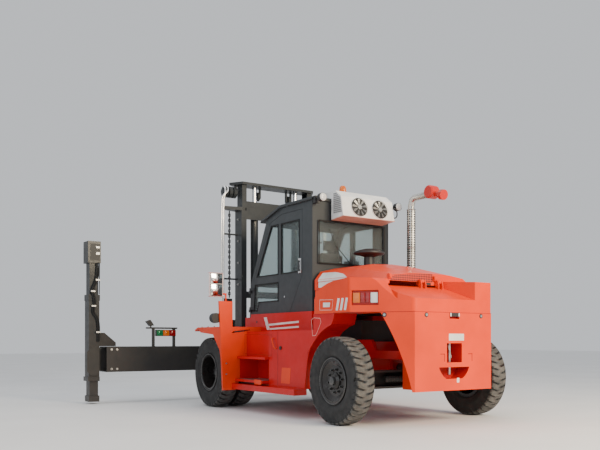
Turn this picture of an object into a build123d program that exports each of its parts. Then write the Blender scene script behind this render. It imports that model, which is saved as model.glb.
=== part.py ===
from build123d import *
import math
import os

# An empty container handler: a heavy counterbalanced truck with a twin-tyred
# front axle, a two-stage mast and a side spreader that telescopes from 20 to 40 feet.
# Sizes are millimetres. X runs forward, Y to the left and Z up. Every place below is
# measured from the ground under the middle of the front axle; on export the machine
# is moved along X so that the middle of its length lies over the origin.

# Wheels and axles
WHEELBASE = 3800
TYRE_RADIUS = 611
TYRE_WIDTH = 315
RIM_RADIUS = 305
RIM_LIP = 26
BEAD_SHARE = 0.80
TWIN_GAP = 50
FRONT_TWIN_CENTRE = 1160
REAR_TYRE_CENTRE = 1254
KINGPIN_CENTRE = 1010
KINGPIN_RADIUS = 38
HUB_RADIUS = 150
FRONT_HUB_BACK = 60
AXLE_TUBE_RADIUS = 130
STEER_RECESS = 60

# Flat facets round the large turned pieces
ROUND_SIDES = 28
ROD_SIDES = 16
HUB_SIDES = 20

# Running clearances
SEAT_GAP = 0.3
RUNNING_GAP = 6
ROD_GAP = 0.5

# Body
BODY_HALF_WIDTH = 1250
REAR_FACE_X = -4746
REAR_FACE_HALF_WIDTH = 713
CORNER_FRONT_X = -3980
SEAM_Z = 1554
WEIGHT_BOTTOM_Z = 478
WEIGHT_CORE_HALF_WIDTH = 440
ARCH_SEAM_X = -4350
ARCH_FOOT_X = -4718
SHOULDER_Z = 2000
TOW_PIN_SETBACK = 110
TOW_BORE_RADIUS = 26
DECK_EDGE_Z = 1737
DECK_RIGHT_REAR_Y = -392
DECK_RIGHT_FRONT_Y = -236
DECK_LEFT_Y = 850
BODY_FRONT_X = -2380
ARCH_FRONT_X = -2760
PLATE = 30
WING_FLOOR_Z = 1740
BAY_WALL = 15
BAY_WALL_TOP_Z = 1952
RAIL_INSIDE = 430
RAIL_THICKNESS = 45
RAIL_BOTTOM_Z = 520
RAIL_TOP_Z = 1180
ENGINE_HALF_WIDTH = 330

# Hood
HOOD_HALF_WIDTH = 760
HOOD_REAR_X = -4230
HOOD_CROWN_Z = 2330
HOOD_SIDE_Z = 2080
HOOD_SKIN = 25
EXHAUST_X = -2775
EXHAUST_GUARD_RADIUS = 73
EXHAUST_PIPE_RADIUS = 55
HOOD_HINGE_X = HOOD_REAR_X - 34
HOOD_HINGE_Z = 2010
HOOD_LUG_FOOT_Z = 1890
HOOD_HINGE_PLACES = (-140, 180)

# Cab
CAB_HALF_WIDTH = 760
WHEEL_GRIP = 30
CAB_FLOOR_Z = 1575
CAB_ROOF_Z = 3400
ROOF_FALL = 135
ROOF_TIP_X = -787
ROOF_BEND_X = -1300
REAR_WINDOW_TOP_Z = 3080
CAB_REAR_X = -2270
CAB_NOSE_X = -150
CAB_WALL = 50
GLASS = 8
SCREEN_TOP_Z = 3150
DOOR_REAR_X = -1960
DOOR_PIN_X = -220
DOOR_PIN_Y = 787
DOOR_HINGE_HEIGHTS = (1720, 2060)
DOOR_PIN_RADIUS = 9
DOOR_THICKNESS = 40

# Sills, steps and mudguards
SILL_HALF_WIDTH = 840
SILL_BOTTOM_Z = 1320
SKIRT_TOP_Z = 1628
SKIRT_INSIDE = 795
WING_FRONT_X = -3040
TANK_INSIDE = 830
TANK_OUTSIDE = 1225
TANK_BOTTOM_Z = 440
STEP_OUTSIDE = 1400
GUARD_REAR_X = -690
GUARD_INSIDE = SILL_HALF_WIDTH + SEAT_GAP
GUARD_OUTSIDE = 1560
GUARD_TOP_Z = 1400
GUARD_PLATE = 40
COLUMN_INSIDE = 1385
COLUMN_TOP_Z = 1830
HEADLAMP_Y = 1660
HEADLAMP_Z = 1545

# Mast
MAST_HALF_WIDTH = 772
MAST_FRONT_X = 410
OUTER_DEPTH = 265
OUTER_FLANGE = 100
OUTER_WALL = 22
OUTER_BOTTOM_Z = 330
OUTER_TOP_Z = 3560
INNER_DEPTH = 205
INNER_FLANGE = 90
INNER_WALL = 20
INNER_BOTTOM_Z = 360
INNER_TOP_Z = OUTER_TOP_Z + 480
HEAD_PLATE = 58
HOSE_PLATE_REACH = 1060
CHAIN_SHEAVE_DROP = 160
HOSE_SHEAVE_DROP = 140
LIFT_CYLINDER_X = 281
LIFT_CYLINDER_Y = 440
LIFT_BARREL_RADIUS = 72
LIFT_ROD_RADIUS = 42
LIFT_STROKE = 2250
TILT_CYLINDER_Y = 722
TILT_EYE_X = 80
TILT_EYE_Z = 1330
TILT_TAIL_X = -1150
TILT_TAIL_Z = 1180
TILT_BARREL_RADIUS = 55
TILT_ROD_RADIUS = 32
TILT_BARREL_LENGTH = 830
LUG_THICKNESS = 18
TILT_PIN_RADIUS = 22
TILT_DRIFT = 7

# Spreader
BEAM_REAR_X = 1660
BEAM_DEPTH = 420
BEAM_BOTTOM_Z = 585
BEAM_TOP_Z = 1054
BEAM_HALF_LENGTH = 2740
BEAM_WALL = 16
ARM_WALL = 14
ARM_LENGTH = 5300
POST_CENTRE = 2927
POST_WIDTH = 190
POST_DEPTH = 250
POST_FOOT_Z = 40
POST_TOP_Z = 2990
CARRIAGE_FRONT_X = 760
PAD_LENGTH = 160
LAMP_POSTS = (1430, 1840)

AXLE_Z = TYRE_RADIUS
REAR_PIVOT_Z = AXLE_Z + 145
REAR_PIVOT_RADIUS = 70
REAR_AXLE_X = -WHEELBASE
WEIGHT_FRONT_X = REAR_AXLE_X - 350
SPREADER_FRONT_X = BEAM_REAR_X + BEAM_DEPTH
ORIGIN_SHIFT = -(SPREADER_FRONT_X + REAR_FACE_X) / 2


def block(x, y, z):
    """A box from its low and high limits along X, Y and Z."""
    size = [high - low for low, high in (x, y, z)]
    middle = [(high + low) / 2 for low, high in (x, y, z)]
    return Pos(*middle) * Box(*size)


def outline_solid(points, direction):
    return Solid.extrude(Face(Wire.make_polygon(points, close=True)), Vector(*direction))


def side_plate(points, y_low, y_high):
    """A side outline of (x, z) points, extruded across the machine."""
    return outline_solid([(x, y_low, z) for x, z in points], (0, y_high - y_low, 0))


def plan_plate(points, z_low, z_high):
    """A plan outline of (x, y) points, extruded upwards."""
    return outline_solid([(x, y, z_low) for x, y in points], (0, 0, z_high - z_low))


def end_plate(points, x_low, x_high):
    """An outline of (y, z) points seen from the end, extruded forwards."""
    return outline_solid([(x_low, y, z) for y, z in points], (x_high - x_low, 0, 0))


def shaft(start, end, radius):
    """A true round bar between two points, for pins, bores and rods that run in them."""
    start = Vector(*start)
    along = Vector(*end) - start
    return Solid.make_cylinder(radius, along.length, Plane(origin=start, z_dir=along))


def rod(start, end, radius, sides=ROD_SIDES):
    """A round bar in flat facets, where nothing runs on it."""
    start = Vector(*start)
    along = Vector(*end) - start
    plane = Plane(origin=start, z_dir=along)
    corners = []
    for i in range(sides):
        angle = 2 * math.pi * i / sides
        corners.append(plane.from_local_coords(Vector(radius * math.cos(angle), radius * math.sin(angle), 0)))
    return Solid.extrude(Face(Wire.make_polygon(corners, close=True)), along)


def ring(place, radius, sides):
    """Corner points of a regular polygon round a cross axis; place is its (x, y, z) middle."""
    x, y, z = place
    step = 2 * math.pi / sides
    return [Vector(x + radius * math.sin(i * step), y, z + radius * math.cos(i * step)) for i in range(sides)]


def closed_solid(faces):
    solid = Solid(Shell(faces))
    return solid if solid.volume > 0 else Solid(Shell([-face for face in faces]))


def turned(points, x, z, sides=ROUND_SIDES):
    """A (y, radius) outline turned about a cross axis at x, z, in flat facets."""
    faces = []
    for (y0, r0), (y1, r1) in zip(points, points[1:] + points[:1]):
        if r0 == 0 and r1 == 0:
            continue
        first, second = ring((x, y0, z), r0, sides), ring((x, y1, z), r1, sides)
        if y0 == y1:
            outer, inner = (first, second) if r0 > r1 else (second, first)
            face = Face(Wire.make_polygon(outer, close=True))
            if min(r0, r1) > 0:
                face = Face(Wire.make_polygon(outer, close=True), [Wire.make_polygon(inner, close=True)])
            faces.append(face)
            continue
        for i in range(sides):
            corners = [first[i], first[(i + 1) % sides], second[(i + 1) % sides], second[i]]
            if r0 == 0:
                corners = corners[1:]
            elif r1 == 0:
                corners = corners[:3]
            faces.append(Face(Wire.make_polygon(corners, close=True)))
    return closed_solid(faces)


def mirrored(shape):
    return mirror(shape, about=Plane.XZ)


def both_sides(shape):
    return [shape, mirrored(shape)]


def group(*shapes):
    """Solids of one node, as one compound."""
    solids = []
    for shape in shapes:
        solids += shape.solids() if not isinstance(shape, (list, tuple)) else [
            solid for item in shape for solid in item.solids()]
    return Compound(solids)


def fused(first, *others):
    for other in others:
        first = first + other
    return first


def save(name, shape):
    export_step(Pos(ORIGIN_SHIFT, 0, 0) * shape, f"parts/{name}.step")


def tyre(middle_y, x):
    """A tyre with a rounded shoulder, sidewall bulge and bead."""
    half = TYRE_WIDTH / 2
    tread_half = half - 22
    outline = []
    # Columns: share of the half width, radius
    for share, radius in (
        (BEAD_SHARE, RIM_RADIUS + 1), (BEAD_SHARE, RIM_RADIUS + RIM_LIP + 4),
        (0.94, RIM_RADIUS + 52), (1.0, RIM_RADIUS + 140),
        (0.96, TYRE_RADIUS - 62), (tread_half / half, TYRE_RADIUS - 12), (0.5, TYRE_RADIUS),
    ):
        outline.append((share * half, radius))
    points = outline + [(-y, radius) for y, radius in reversed(outline)]
    return turned([(middle_y + y, radius) for y, radius in points], x, AXLE_Z)


def rim(middle_y, x, dish):
    """A rim barrel with its lips and a disc set off by dish, towards the outside."""
    half = BEAD_SHARE * TYRE_WIDTH / 2
    lip = RIM_RADIUS + RIM_LIP
    barrel = turned([
        (middle_y - half - 14, lip), (middle_y - half - 1, lip), (middle_y - half - 1, RIM_RADIUS),
        (middle_y + half + 1, RIM_RADIUS), (middle_y + half + 1, lip), (middle_y + half + 14, lip),
        (middle_y + half + 14, RIM_RADIUS - 22), (middle_y - half - 14, RIM_RADIUS - 22),
    ], x, AXLE_Z)
    disc_y = middle_y + dish
    out = 1 if dish > 0 else -1
    disc = turned([
        (disc_y - 12 * out, 0), (disc_y + 12 * out, 0), (disc_y + 12 * out, 215),
        (middle_y + out * (half + 12), RIM_RADIUS - 4), (middle_y + out * (half - 14), RIM_RADIUS - 21),
        (disc_y - 12 * out, 195),
    ], x, AXLE_Z)
    return barrel + disc


def hub(y_low, y_high, x, radius):
    return turned([(y_low, 0), (y_high, 0), (y_high, radius * 0.72), (y_high - 30, radius),
                   (y_low, radius)], x, AXLE_Z, HUB_SIDES)


def front_wheel():
    """Twin tyres on two rims that share one planetary hub."""
    offset = (TYRE_WIDTH + TWIN_GAP) / 2
    inner = FRONT_TWIN_CENTRE - offset
    outer = FRONT_TWIN_CENTRE + offset
    tyres = group(tyre(inner, 0), tyre(outer, 0))
    disc_y = FRONT_TWIN_CENTRE
    metal = fused(
        rim(inner, 0, disc_y - 12 - inner), rim(outer, 0, disc_y + 12 - outer),
        hub(disc_y - FRONT_HUB_BACK, disc_y + 190, 0, HUB_RADIUS),
    )
    return tyres, metal


def rear_wheel():
    """A single steered wheel with a deep disc and its hub."""
    tyre_solid = tyre(REAR_TYRE_CENTRE, REAR_AXLE_X)
    disc = 78
    metal = rim(REAR_TYRE_CENTRE, REAR_AXLE_X, disc)
    metal = metal + hub(REAR_TYRE_CENTRE + disc - 90, REAR_TYRE_CENTRE + disc + 60, REAR_AXLE_X, 118)
    return tyre_solid, metal


def knuckle():
    """A kingpin block with its stub axle, which reaches into the hub's back face."""
    hub_back = REAR_TYRE_CENTRE + 78 - 90
    block_half = 62
    body = block((REAR_AXLE_X - 60, REAR_AXLE_X + 60), (KINGPIN_CENTRE - 55, KINGPIN_CENTRE + 75),
                 (AXLE_Z - block_half, AXLE_Z + block_half))
    stub = shaft((REAR_AXLE_X, KINGPIN_CENTRE + 60, AXLE_Z), (REAR_AXLE_X, hub_back - SEAT_GAP, AXLE_Z), 55)
    bore = shaft((REAR_AXLE_X, KINGPIN_CENTRE, AXLE_Z - 200), (REAR_AXLE_X, KINGPIN_CENTRE, AXLE_Z + 200),
               KINGPIN_RADIUS + SEAT_GAP)
    arm = block((REAR_AXLE_X - 250, REAR_AXLE_X - 50), (KINGPIN_CENTRE - 40, KINGPIN_CENTRE + 10),
                (AXLE_Z - 20, AXLE_Z + 20))
    return fused(body, stub, arm) - bore


def rear_axle():
    """A box beam with a fork at each end that holds the kingpin."""
    half_depth = 110
    fork_inner = KINGPIN_CENTRE - 130
    beam = block((REAR_AXLE_X - half_depth, REAR_AXLE_X + half_depth), (-fork_inner, fork_inner),
                 (AXLE_Z - 130, AXLE_Z + 130))
    channel = block((REAR_AXLE_X - half_depth - 1, REAR_AXLE_X + STEER_RECESS), (-fork_inner - 1, fork_inner + 1),
                    (AXLE_Z - 100, AXLE_Z + 100))
    beam = beam - channel
    for low, high in ((-130, -68), (68, 130)):
        fork = plan_plate([
            (REAR_AXLE_X - 90, fork_inner - 1), (REAR_AXLE_X + 90, fork_inner - 1),
            (REAR_AXLE_X + 62, KINGPIN_CENTRE + 50), (REAR_AXLE_X - 62, KINGPIN_CENTRE + 50),
        ], AXLE_Z + low, AXLE_Z + high)
        beam = fused(beam, fork, mirrored(fork))
    pin = shaft((REAR_AXLE_X, KINGPIN_CENTRE, AXLE_Z - 130), (REAR_AXLE_X, KINGPIN_CENTRE, AXLE_Z + 130),
                KINGPIN_RADIUS)
    pivot = rod((REAR_AXLE_X - 280, 0, REAR_PIVOT_Z), (REAR_AXLE_X + 280, 0, REAR_PIVOT_Z), REAR_PIVOT_RADIUS)
    return fused(beam, pin, mirrored(pin), pivot)


def steering_cylinder():
    """A double-ended cylinder in the beam's open side, with a bellows on each rod."""
    x = REAR_AXLE_X - 55
    barrel = rod((x, -180, AXLE_Z), (x, 180, AXLE_Z), 62)
    bellows = []
    pitch = 44
    for i in range(8):
        y = 180 + i * pitch
        bellows.append(turned([(y, 0), (y + pitch, 0), (y + pitch, 36), (y + pitch / 2, 52), (y, 36)],
                              x, AXLE_Z, 10))
    clamp = block((x, REAR_AXLE_X + STEER_RECESS - SEAT_GAP), (-120, 120), (AXLE_Z - 45, AXLE_Z + 45))
    half = fused(barrel, *bellows, clamp)
    return half + mirrored(half)


def drive_axle():
    """The front axle: a cast middle, two tubes and the hub carriers in the twin wheels."""
    tube_end = FRONT_TWIN_CENTRE - FRONT_HUB_BACK - SEAT_GAP
    axle_tube = shaft((0, -tube_end, AXLE_Z), (0, tube_end, AXLE_Z), AXLE_TUBE_RADIUS)
    middle = turned([(-230, 0), (230, 0), (230, 150), (120, 275), (-120, 275), (-230, 150)], 0, AXLE_Z)
    nose = rod((-430, 0, AXLE_Z), (0, 0, AXLE_Z), 120)
    return fused(axle_tube, middle, nose)


def chassis_frame():
    """Two side rails with cross plates, a rear axle saddle and the axle clamps."""
    rail_outside = RAIL_INSIDE + RAIL_THICKNESS
    rail = side_plate([
        (-170, 460), (140, 460), (140, 740), (-60, 900), (-120, RAIL_TOP_Z), (-3450, RAIL_TOP_Z),
        (-3560, 1020), (WEIGHT_FRONT_X + SEAT_GAP, 1020), (WEIGHT_FRONT_X + SEAT_GAP, 900), (-3300, 900),
        (-3100, RAIL_BOTTOM_Z), (-700, RAIL_BOTTOM_Z),
    ], RAIL_INSIDE, rail_outside)
    rail = rail - shaft((0, 0, AXLE_Z), (0, 900, AXLE_Z), AXLE_TUBE_RADIUS + SEAT_GAP)
    frame = rail + mirrored(rail)
    # Columns: rear x, front x, low z, high z
    for x_low, x_high, z_low, z_high in (
        (-640, -600, 560, 1120), (-1750, -1710, 540, 900), (-3060, -3020, 540, 1150),
        (REAR_AXLE_X - 320, REAR_AXLE_X - 260, 905, 1015), (REAR_AXLE_X + 260, REAR_AXLE_X + 320, 905, 1015),
    ):
        frame = frame + block((x_low, x_high), (-RAIL_INSIDE - 1, RAIL_INSIDE + 1), (z_low, z_high))
    for x in (-2750, -2050):
        foot = block((x, x + 90), (ENGINE_HALF_WIDTH + SEAT_GAP, RAIL_INSIDE + 1), (700, 790))
        frame = fused(frame, foot, mirrored(foot))
    for x in (REAR_AXLE_X - 290, REAR_AXLE_X + 290):
        hanger = block((x - 30, x + 30), (-140, 140), (REAR_PIVOT_Z - 85, 906))
        pivot = rod((x - 60, 0, REAR_PIVOT_Z), (x + 60, 0, REAR_PIVOT_Z), REAR_PIVOT_RADIUS + SEAT_GAP)
        frame = fused(frame, hanger) - pivot
    return frame


def tilt_anchor():
    """The pair of plates on a rail that hold the tail pin of a tilt cylinder."""
    rail_outside = RAIL_INSIDE + RAIL_THICKNESS
    arm = block((TILT_TAIL_X - 130, TILT_TAIL_X - 80), (rail_outside - 1, TANK_INSIDE - 4),
                (TILT_TAIL_Z - 110, TILT_TAIL_Z + 60))
    lugs = []
    for y in (TILT_CYLINDER_Y - 62, TILT_CYLINDER_Y + 38):
        lugs.append(side_plate([
            (TILT_TAIL_X - 81, TILT_TAIL_Z - 60), (TILT_TAIL_X + 45, TILT_TAIL_Z - 45),
            (TILT_TAIL_X + 45, TILT_TAIL_Z + 45), (TILT_TAIL_X - 81, TILT_TAIL_Z + 60)], y, y + 24))
    pin = shaft((TILT_TAIL_X, TILT_CYLINDER_Y - 62, TILT_TAIL_Z), (TILT_TAIL_X, TILT_CYLINDER_Y + 62, TILT_TAIL_Z), 25)
    return fused(arm, *lugs, pin)


def engine():
    return block((-3000, -1790), (-ENGINE_HALF_WIDTH, ENGINE_HALF_WIDTH), (620, 1480))


WING_TOP = [
    (WING_FRONT_X + 1, 1560), (-3092, 1759), (-3173, 1871), (-3300, 1935), (-3450, 1980), (-3617, SHOULDER_Z + 8),
    (CORNER_FRONT_X, SHOULDER_Z + 34), (REAR_FACE_X - 1, SHOULDER_Z - 4),
]
DECK_LINE = [(REAR_FACE_X - 1, DECK_EDGE_Z), (HOOD_REAR_X, 1930)]
CORNER_LINE = [(REAR_FACE_X - 1, DECK_EDGE_Z), (-4540, DECK_EDGE_Z), (-4380, 1889), (-4300, 1985), (-4225, 2033)]


def body_plan(inset=0):
    """Half plan outline of the rear body, with its swept corner, as (x, y) points."""
    return [
        (WING_FRONT_X, BODY_HALF_WIDTH - inset), (CORNER_FRONT_X, BODY_HALF_WIDTH - inset),
        (REAR_FACE_X + inset, REAR_FACE_HALF_WIDTH - inset * 0.5),
    ]


def full_plan(half):
    return half + [(x, -y) for x, y in reversed(half)]


def rounded(shape, radius, axis=Axis.Z):
    return fillet(shape.edges().filter_by(axis), radius)


def corner_y(x):
    """Y of the swept corner's face at a place along X."""
    share = (x - CORNER_FRONT_X) / (REAR_FACE_X - CORNER_FRONT_X)
    return BODY_HALF_WIDTH + share * (REAR_FACE_HALF_WIDTH - BODY_HALF_WIDTH)


def side_face(edges):
    """A closed face in the XZ plane from edges that follow each other."""
    return Face(Wire(edges))


def at_side(x, z):
    return Vector(x, 0, z)


def counterweight():
    """The cast weight under the seam, with a wheel arch cut into each side."""
    front_x = WEIGHT_FRONT_X
    top = SEAM_Z - SEAT_GAP
    weight = plan_plate(full_plan([
        (front_x, corner_y(front_x)), (REAR_FACE_X, REAR_FACE_HALF_WIDTH)]), WEIGHT_BOTTOM_Z, top)
    # Seen from the side, the arch's rear edge is one long arc from the seam to the lower corner.
    arch_top = at_side(ARCH_SEAM_X, SEAM_Z + 1)
    arch_foot = at_side(ARCH_FOOT_X, WEIGHT_BOTTOM_Z - 1)
    arch_middle = at_side((ARCH_SEAM_X + ARCH_FOOT_X) / 2 - 42, (SEAM_Z + WEIGHT_BOTTOM_Z) / 2)
    far_top = at_side(REAR_AXLE_X + 900, SEAM_Z + 1)
    far_foot = at_side(REAR_AXLE_X + 900, WEIGHT_BOTTOM_Z - 1)
    opening = side_face([
        Edge.make_three_point_arc(arch_foot, arch_middle, arch_top), Edge.make_line(arch_top, far_top),
        Edge.make_line(far_top, far_foot), Edge.make_line(far_foot, arch_foot)])
    arch = Pos(0, WEIGHT_CORE_HALF_WIDTH, 0) * Solid.extrude(opening, Vector(0, 1200, 0))
    weight = weight - arch - mirrored(arch)
    tow_pocket = block((REAR_FACE_X - 1, REAR_FACE_X + 230), (-140, 140), (865, 1130))
    slot = Solid.make_cylinder(300, 260, Plane(origin=(REAR_FACE_X - 1, 0, 900), z_dir=(1, 0, 0)))
    slot = slot & block((REAR_FACE_X - 2, REAR_FACE_X + 240), (-310, 310), (640, 800))
    camera = block((REAR_FACE_X - 1, REAR_FACE_X + 60), (-90, 90), (SEAM_Z - 85, SEAM_Z - 5))
    tow_bore = shaft((REAR_FACE_X + TOW_PIN_SETBACK, 0, 799), (REAR_FACE_X + TOW_PIN_SETBACK, 0, 866), TOW_BORE_RADIUS)
    return weight - tow_pocket - slot - camera - tow_bore


def rear_body():
    """The shell above the seam: side wings, swept corners, sunken rear deck and lamp recesses."""
    shell = plan_plate(full_plan(body_plan()), SEAM_Z, SHOULDER_Z + 60)
    shell = rounded(shell, 90)
    wing_rise = side_plate(WING_TOP + [
        (REAR_FACE_X - 1, SHOULDER_Z + 200), (WING_FRONT_X + 1, SHOULDER_Z + 200),
    ], -BODY_HALF_WIDTH - 1, BODY_HALF_WIDTH + 1)
    shell = shell - wing_rise
    over = SHOULDER_Z + 200
    deck = side_plate(DECK_LINE + [(HOOD_REAR_X, over), (REAR_FACE_X - 1, over)], -500, DECK_LEFT_Y)
    deck = deck & plan_plate([
        (REAR_FACE_X - 2, DECK_RIGHT_REAR_Y), (HOOD_REAR_X + 1, DECK_RIGHT_FRONT_Y), (HOOD_REAR_X + 1, DECK_LEFT_Y + 1),
        (REAR_FACE_X - 2, DECK_LEFT_Y + 1)], DECK_EDGE_Z - 1, over + 1)
    corner = side_plate(CORNER_LINE + [(-4225, over), (REAR_FACE_X - 1, over)], DECK_LEFT_Y - 1, BODY_HALF_WIDTH + 1)
    bay = block((HOOD_REAR_X, WING_FRONT_X + 1), (-HOOD_HALF_WIDTH, HOOD_HALF_WIDTH), (SEAM_Z - 1, over))
    under = plan_plate(full_plan([
        (WING_FRONT_X + 1, BODY_HALF_WIDTH - PLATE), (CORNER_FRONT_X + 60, BODY_HALF_WIDTH - PLATE),
        (HOOD_REAR_X, 900)]), SEAM_Z - 1, WING_FLOOR_Z)
    shell = shell - deck - corner - bay - under
    # The engine bay's side walls run on from the wings to the cab.
    wall = block((HOOD_REAR_X - 1, BODY_FRONT_X), (HOOD_HALF_WIDTH, HOOD_HALF_WIDTH + BAY_WALL), (SEAM_Z, BAY_WALL_TOP_Z))
    shell = fused(shell, wall, mirrored(wall))
    for sign in (1, -1):
        shell = shell - lamp_pocket(sign, 0)
    for y in HOOD_HINGE_PLACES:
        shell = shell + hood_lugs(y)
    return shell


def lamp_pocket(sign, inset):
    """The block of a tail lamp on the swept corner; inset shrinks it to the lamp itself."""
    corner = Vector(CORNER_FRONT_X, BODY_HALF_WIDTH, 0)
    along = (Vector(REAR_FACE_X, REAR_FACE_HALF_WIDTH, 0) - corner).normalized()
    outward = Vector(along.Y, -along.X, 0)
    if outward.Y < 0:
        outward = outward * -1
    start = corner + along * (40 + inset)
    end = corner + along * (430 - inset)
    deep = outward * -(70 - (SEAT_GAP if inset else 0))
    proud = outward * (30 if inset == 0 else -24)
    points = [start + proud, end + proud, end + deep, start + deep]
    solid = plan_plate([(p.X, p.Y) for p in points], 1650 + inset, 1850 - inset)
    return solid if sign > 0 else mirrored(solid)


def hood():
    """The arched engine cover, open underneath, with louvred rear edge."""
    def section(width, crown, side):
        return [(-width, side), (-width * 0.86, side + (crown - side) * 0.62),
                (-width * 0.5, side + (crown - side) * 0.92), (0, crown),
                (width * 0.5, side + (crown - side) * 0.92), (width * 0.86, side + (crown - side) * 0.62),
                (width, side)]
    gap = RUNNING_GAP
    front_x = CAB_REAR_X - 60
    rear_x = HOOD_REAR_X + gap
    low = 1960
    def face_at(x, width, crown, side, base):
        points = [(x, y, z) for y, z in section(width, crown, side)]
        return Face(Wire.make_polygon([(x, -width, base)] + points + [(x, width, base)], close=True))
    width = HOOD_HALF_WIDTH - gap
    stations = ((front_x, HOOD_CROWN_Z + 10, HOOD_SIDE_Z + 40), (-3350, HOOD_CROWN_Z, HOOD_SIDE_Z + 30),
                (rear_x, 2130, 2010))
    outside = Solid.make_loft([face_at(x, width, crown, side, low).outer_wire() for x, crown, side in stations],
                              ruled=True)
    skin = HOOD_SKIN
    inside = Solid.make_loft([
        face_at(x, width - skin, crown - skin, side - skin, low - 1).outer_wire()
        for x, crown, side in ((front_x - skin, stations[0][1], stations[0][2]), stations[1],
                               (rear_x + skin, stations[2][1], stations[2][2]))], ruled=True)
    slot = block((rear_x - 1, rear_x + skin + 40), (230, width - 20), (low - 1, low + 42))
    recess = side_plate(HOOD_RECESS, width - 9, width + 10)
    shell = outside - inside - slot - recess - mirrored(recess)
    for y in HOOD_HINGE_PLACES:
        shell = shell + hood_eye(y)
    return shell


HOOD_RECESS = [(-2420, 1985), (-2420, 2085), (-2800, 2085), (-3050, 2070), (-3230, 2040), (-3230, 1985)]


def hood_eye(y):
    """A hinge eye behind the hood's rear face."""
    eye = rod((HOOD_HINGE_X, y - 25, HOOD_HINGE_Z), (HOOD_HINGE_X, y + 25, HOOD_HINGE_Z), 26)
    leaf = block((HOOD_HINGE_X, HOOD_REAR_X + RUNNING_GAP + 4), (y - 25, y + 25), (HOOD_HINGE_Z - 10, HOOD_HINGE_Z + 26))
    hole = shaft((HOOD_HINGE_X, y - 30, HOOD_HINGE_Z), (HOOD_HINGE_X, y + 30, HOOD_HINGE_Z), 12 + SEAT_GAP)
    return eye + leaf - hole


def hood_lugs(y):
    """The two lugs and the pin that carry one hinge eye on the sunken deck."""
    x = HOOD_HINGE_X
    parts = []
    z = HOOD_HINGE_Z
    for low in (y - 25 - RUNNING_GAP - 14, y + 25 + RUNNING_GAP):
        parts.append(side_plate([
            (x - 45, HOOD_LUG_FOOT_Z), (HOOD_REAR_X - 1, HOOD_LUG_FOOT_Z), (HOOD_REAR_X - 1, z - 50), (x + 24, z - 5),
            (x + 24, z + 12), (x + 12, z + 24), (x - 12, z + 24), (x - 24, z + 12), (x - 45, z - 50)], low, low + 14))
    pin = shaft((x, y - 25 - RUNNING_GAP - 13, HOOD_HINGE_Z), (x, y + 25 + RUNNING_GAP + 13, HOOD_HINGE_Z), 12)
    return fused(pin, *parts)


def cab_outline(inset, z_low, z_high):
    """Side outline of the cab as (x, z) points, its A-pillar sloped back."""
    return [
        (CAB_REAR_X + inset, z_low), (CAB_NOSE_X - inset, z_low), (CAB_NOSE_X - 60 - inset, 2200),
        (ROOF_TIP_X - inset * 1.1, z_high - ROOF_FALL), (ROOF_BEND_X, z_high), (CAB_REAR_X + inset, z_high),
    ]


def window(points, y_low=-2000, y_high=2000):
    return side_plate(points, y_low, y_high)


DOOR_OUTLINE = [
    (CAB_NOSE_X - 70, CAB_FLOOR_Z + 60), (-1560, CAB_FLOOR_Z + 60), (DOOR_REAR_X, 2230),
    (DOOR_REAR_X, CAB_ROOF_Z - 110), (-1300, CAB_ROOF_Z - 110), (-890, 3180), (CAB_NOSE_X - 130, 2200),
]


def shrunk(points, distance, y_low, y_high):
    face = Face(Wire.make_polygon([(x, y_low, z) for x, z in points], close=True))
    face = offset(face, -distance, kind=Kind.INTERSECTION).faces()[0]
    return Solid.extrude(face, Vector(0, y_high - y_low, 0))


def cab_shell():
    """The cab's walls and roof, with the door openings and windows cut."""
    shell = side_plate(cab_outline(0, CAB_FLOOR_Z, CAB_ROOF_Z), -CAB_HALF_WIDTH, CAB_HALF_WIDTH)
    hollow = side_plate(cab_outline(CAB_WALL, CAB_FLOOR_Z + CAB_WALL, CAB_ROOF_Z - CAB_WALL),
                        -CAB_HALF_WIDTH + CAB_WALL, CAB_HALF_WIDTH - CAB_WALL)
    shell = shell - hollow
    shell = shell - shrunk(DOOR_OUTLINE, -RUNNING_GAP, -CAB_HALF_WIDTH - 1, CAB_HALF_WIDTH + 1)
    rear_window = block((CAB_REAR_X - 1, CAB_REAR_X + CAB_WALL + 1), (-CAB_HALF_WIDTH + 110, CAB_HALF_WIDTH - 110),
                        (2400, REAR_WINDOW_TOP_Z))
    front_low = block((CAB_NOSE_X - 200, CAB_NOSE_X + 1), (-CAB_HALF_WIDTH + 110, CAB_HALF_WIDTH - 110), (1750, 2130))
    front_high = end_plate([(-CAB_HALF_WIDTH + 110, 2250), (CAB_HALF_WIDTH - 110, 2250),
                            (CAB_HALF_WIDTH - 110, SCREEN_TOP_Z), (-CAB_HALF_WIDTH + 110, SCREEN_TOP_Z)], -1000, CAB_NOSE_X)
    shell = shell - rear_window - front_low - front_high
    # The slab's front falls with the roof and ends in a short visor.
    roof = side_plate([
        (CAB_REAR_X - 30, CAB_ROOF_Z - 1), (ROOF_BEND_X, CAB_ROOF_Z - 1), (-620, CAB_ROOF_Z - 180), (-598, CAB_ROOF_Z - 166),
        (-630, CAB_ROOF_Z - 134), (ROOF_BEND_X, CAB_ROOF_Z + 45), (CAB_REAR_X - 30, CAB_ROOF_Z + 45),
    ], -CAB_HALF_WIDTH - 30, CAB_HALF_WIDTH + 30)
    return shell + roof


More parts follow.
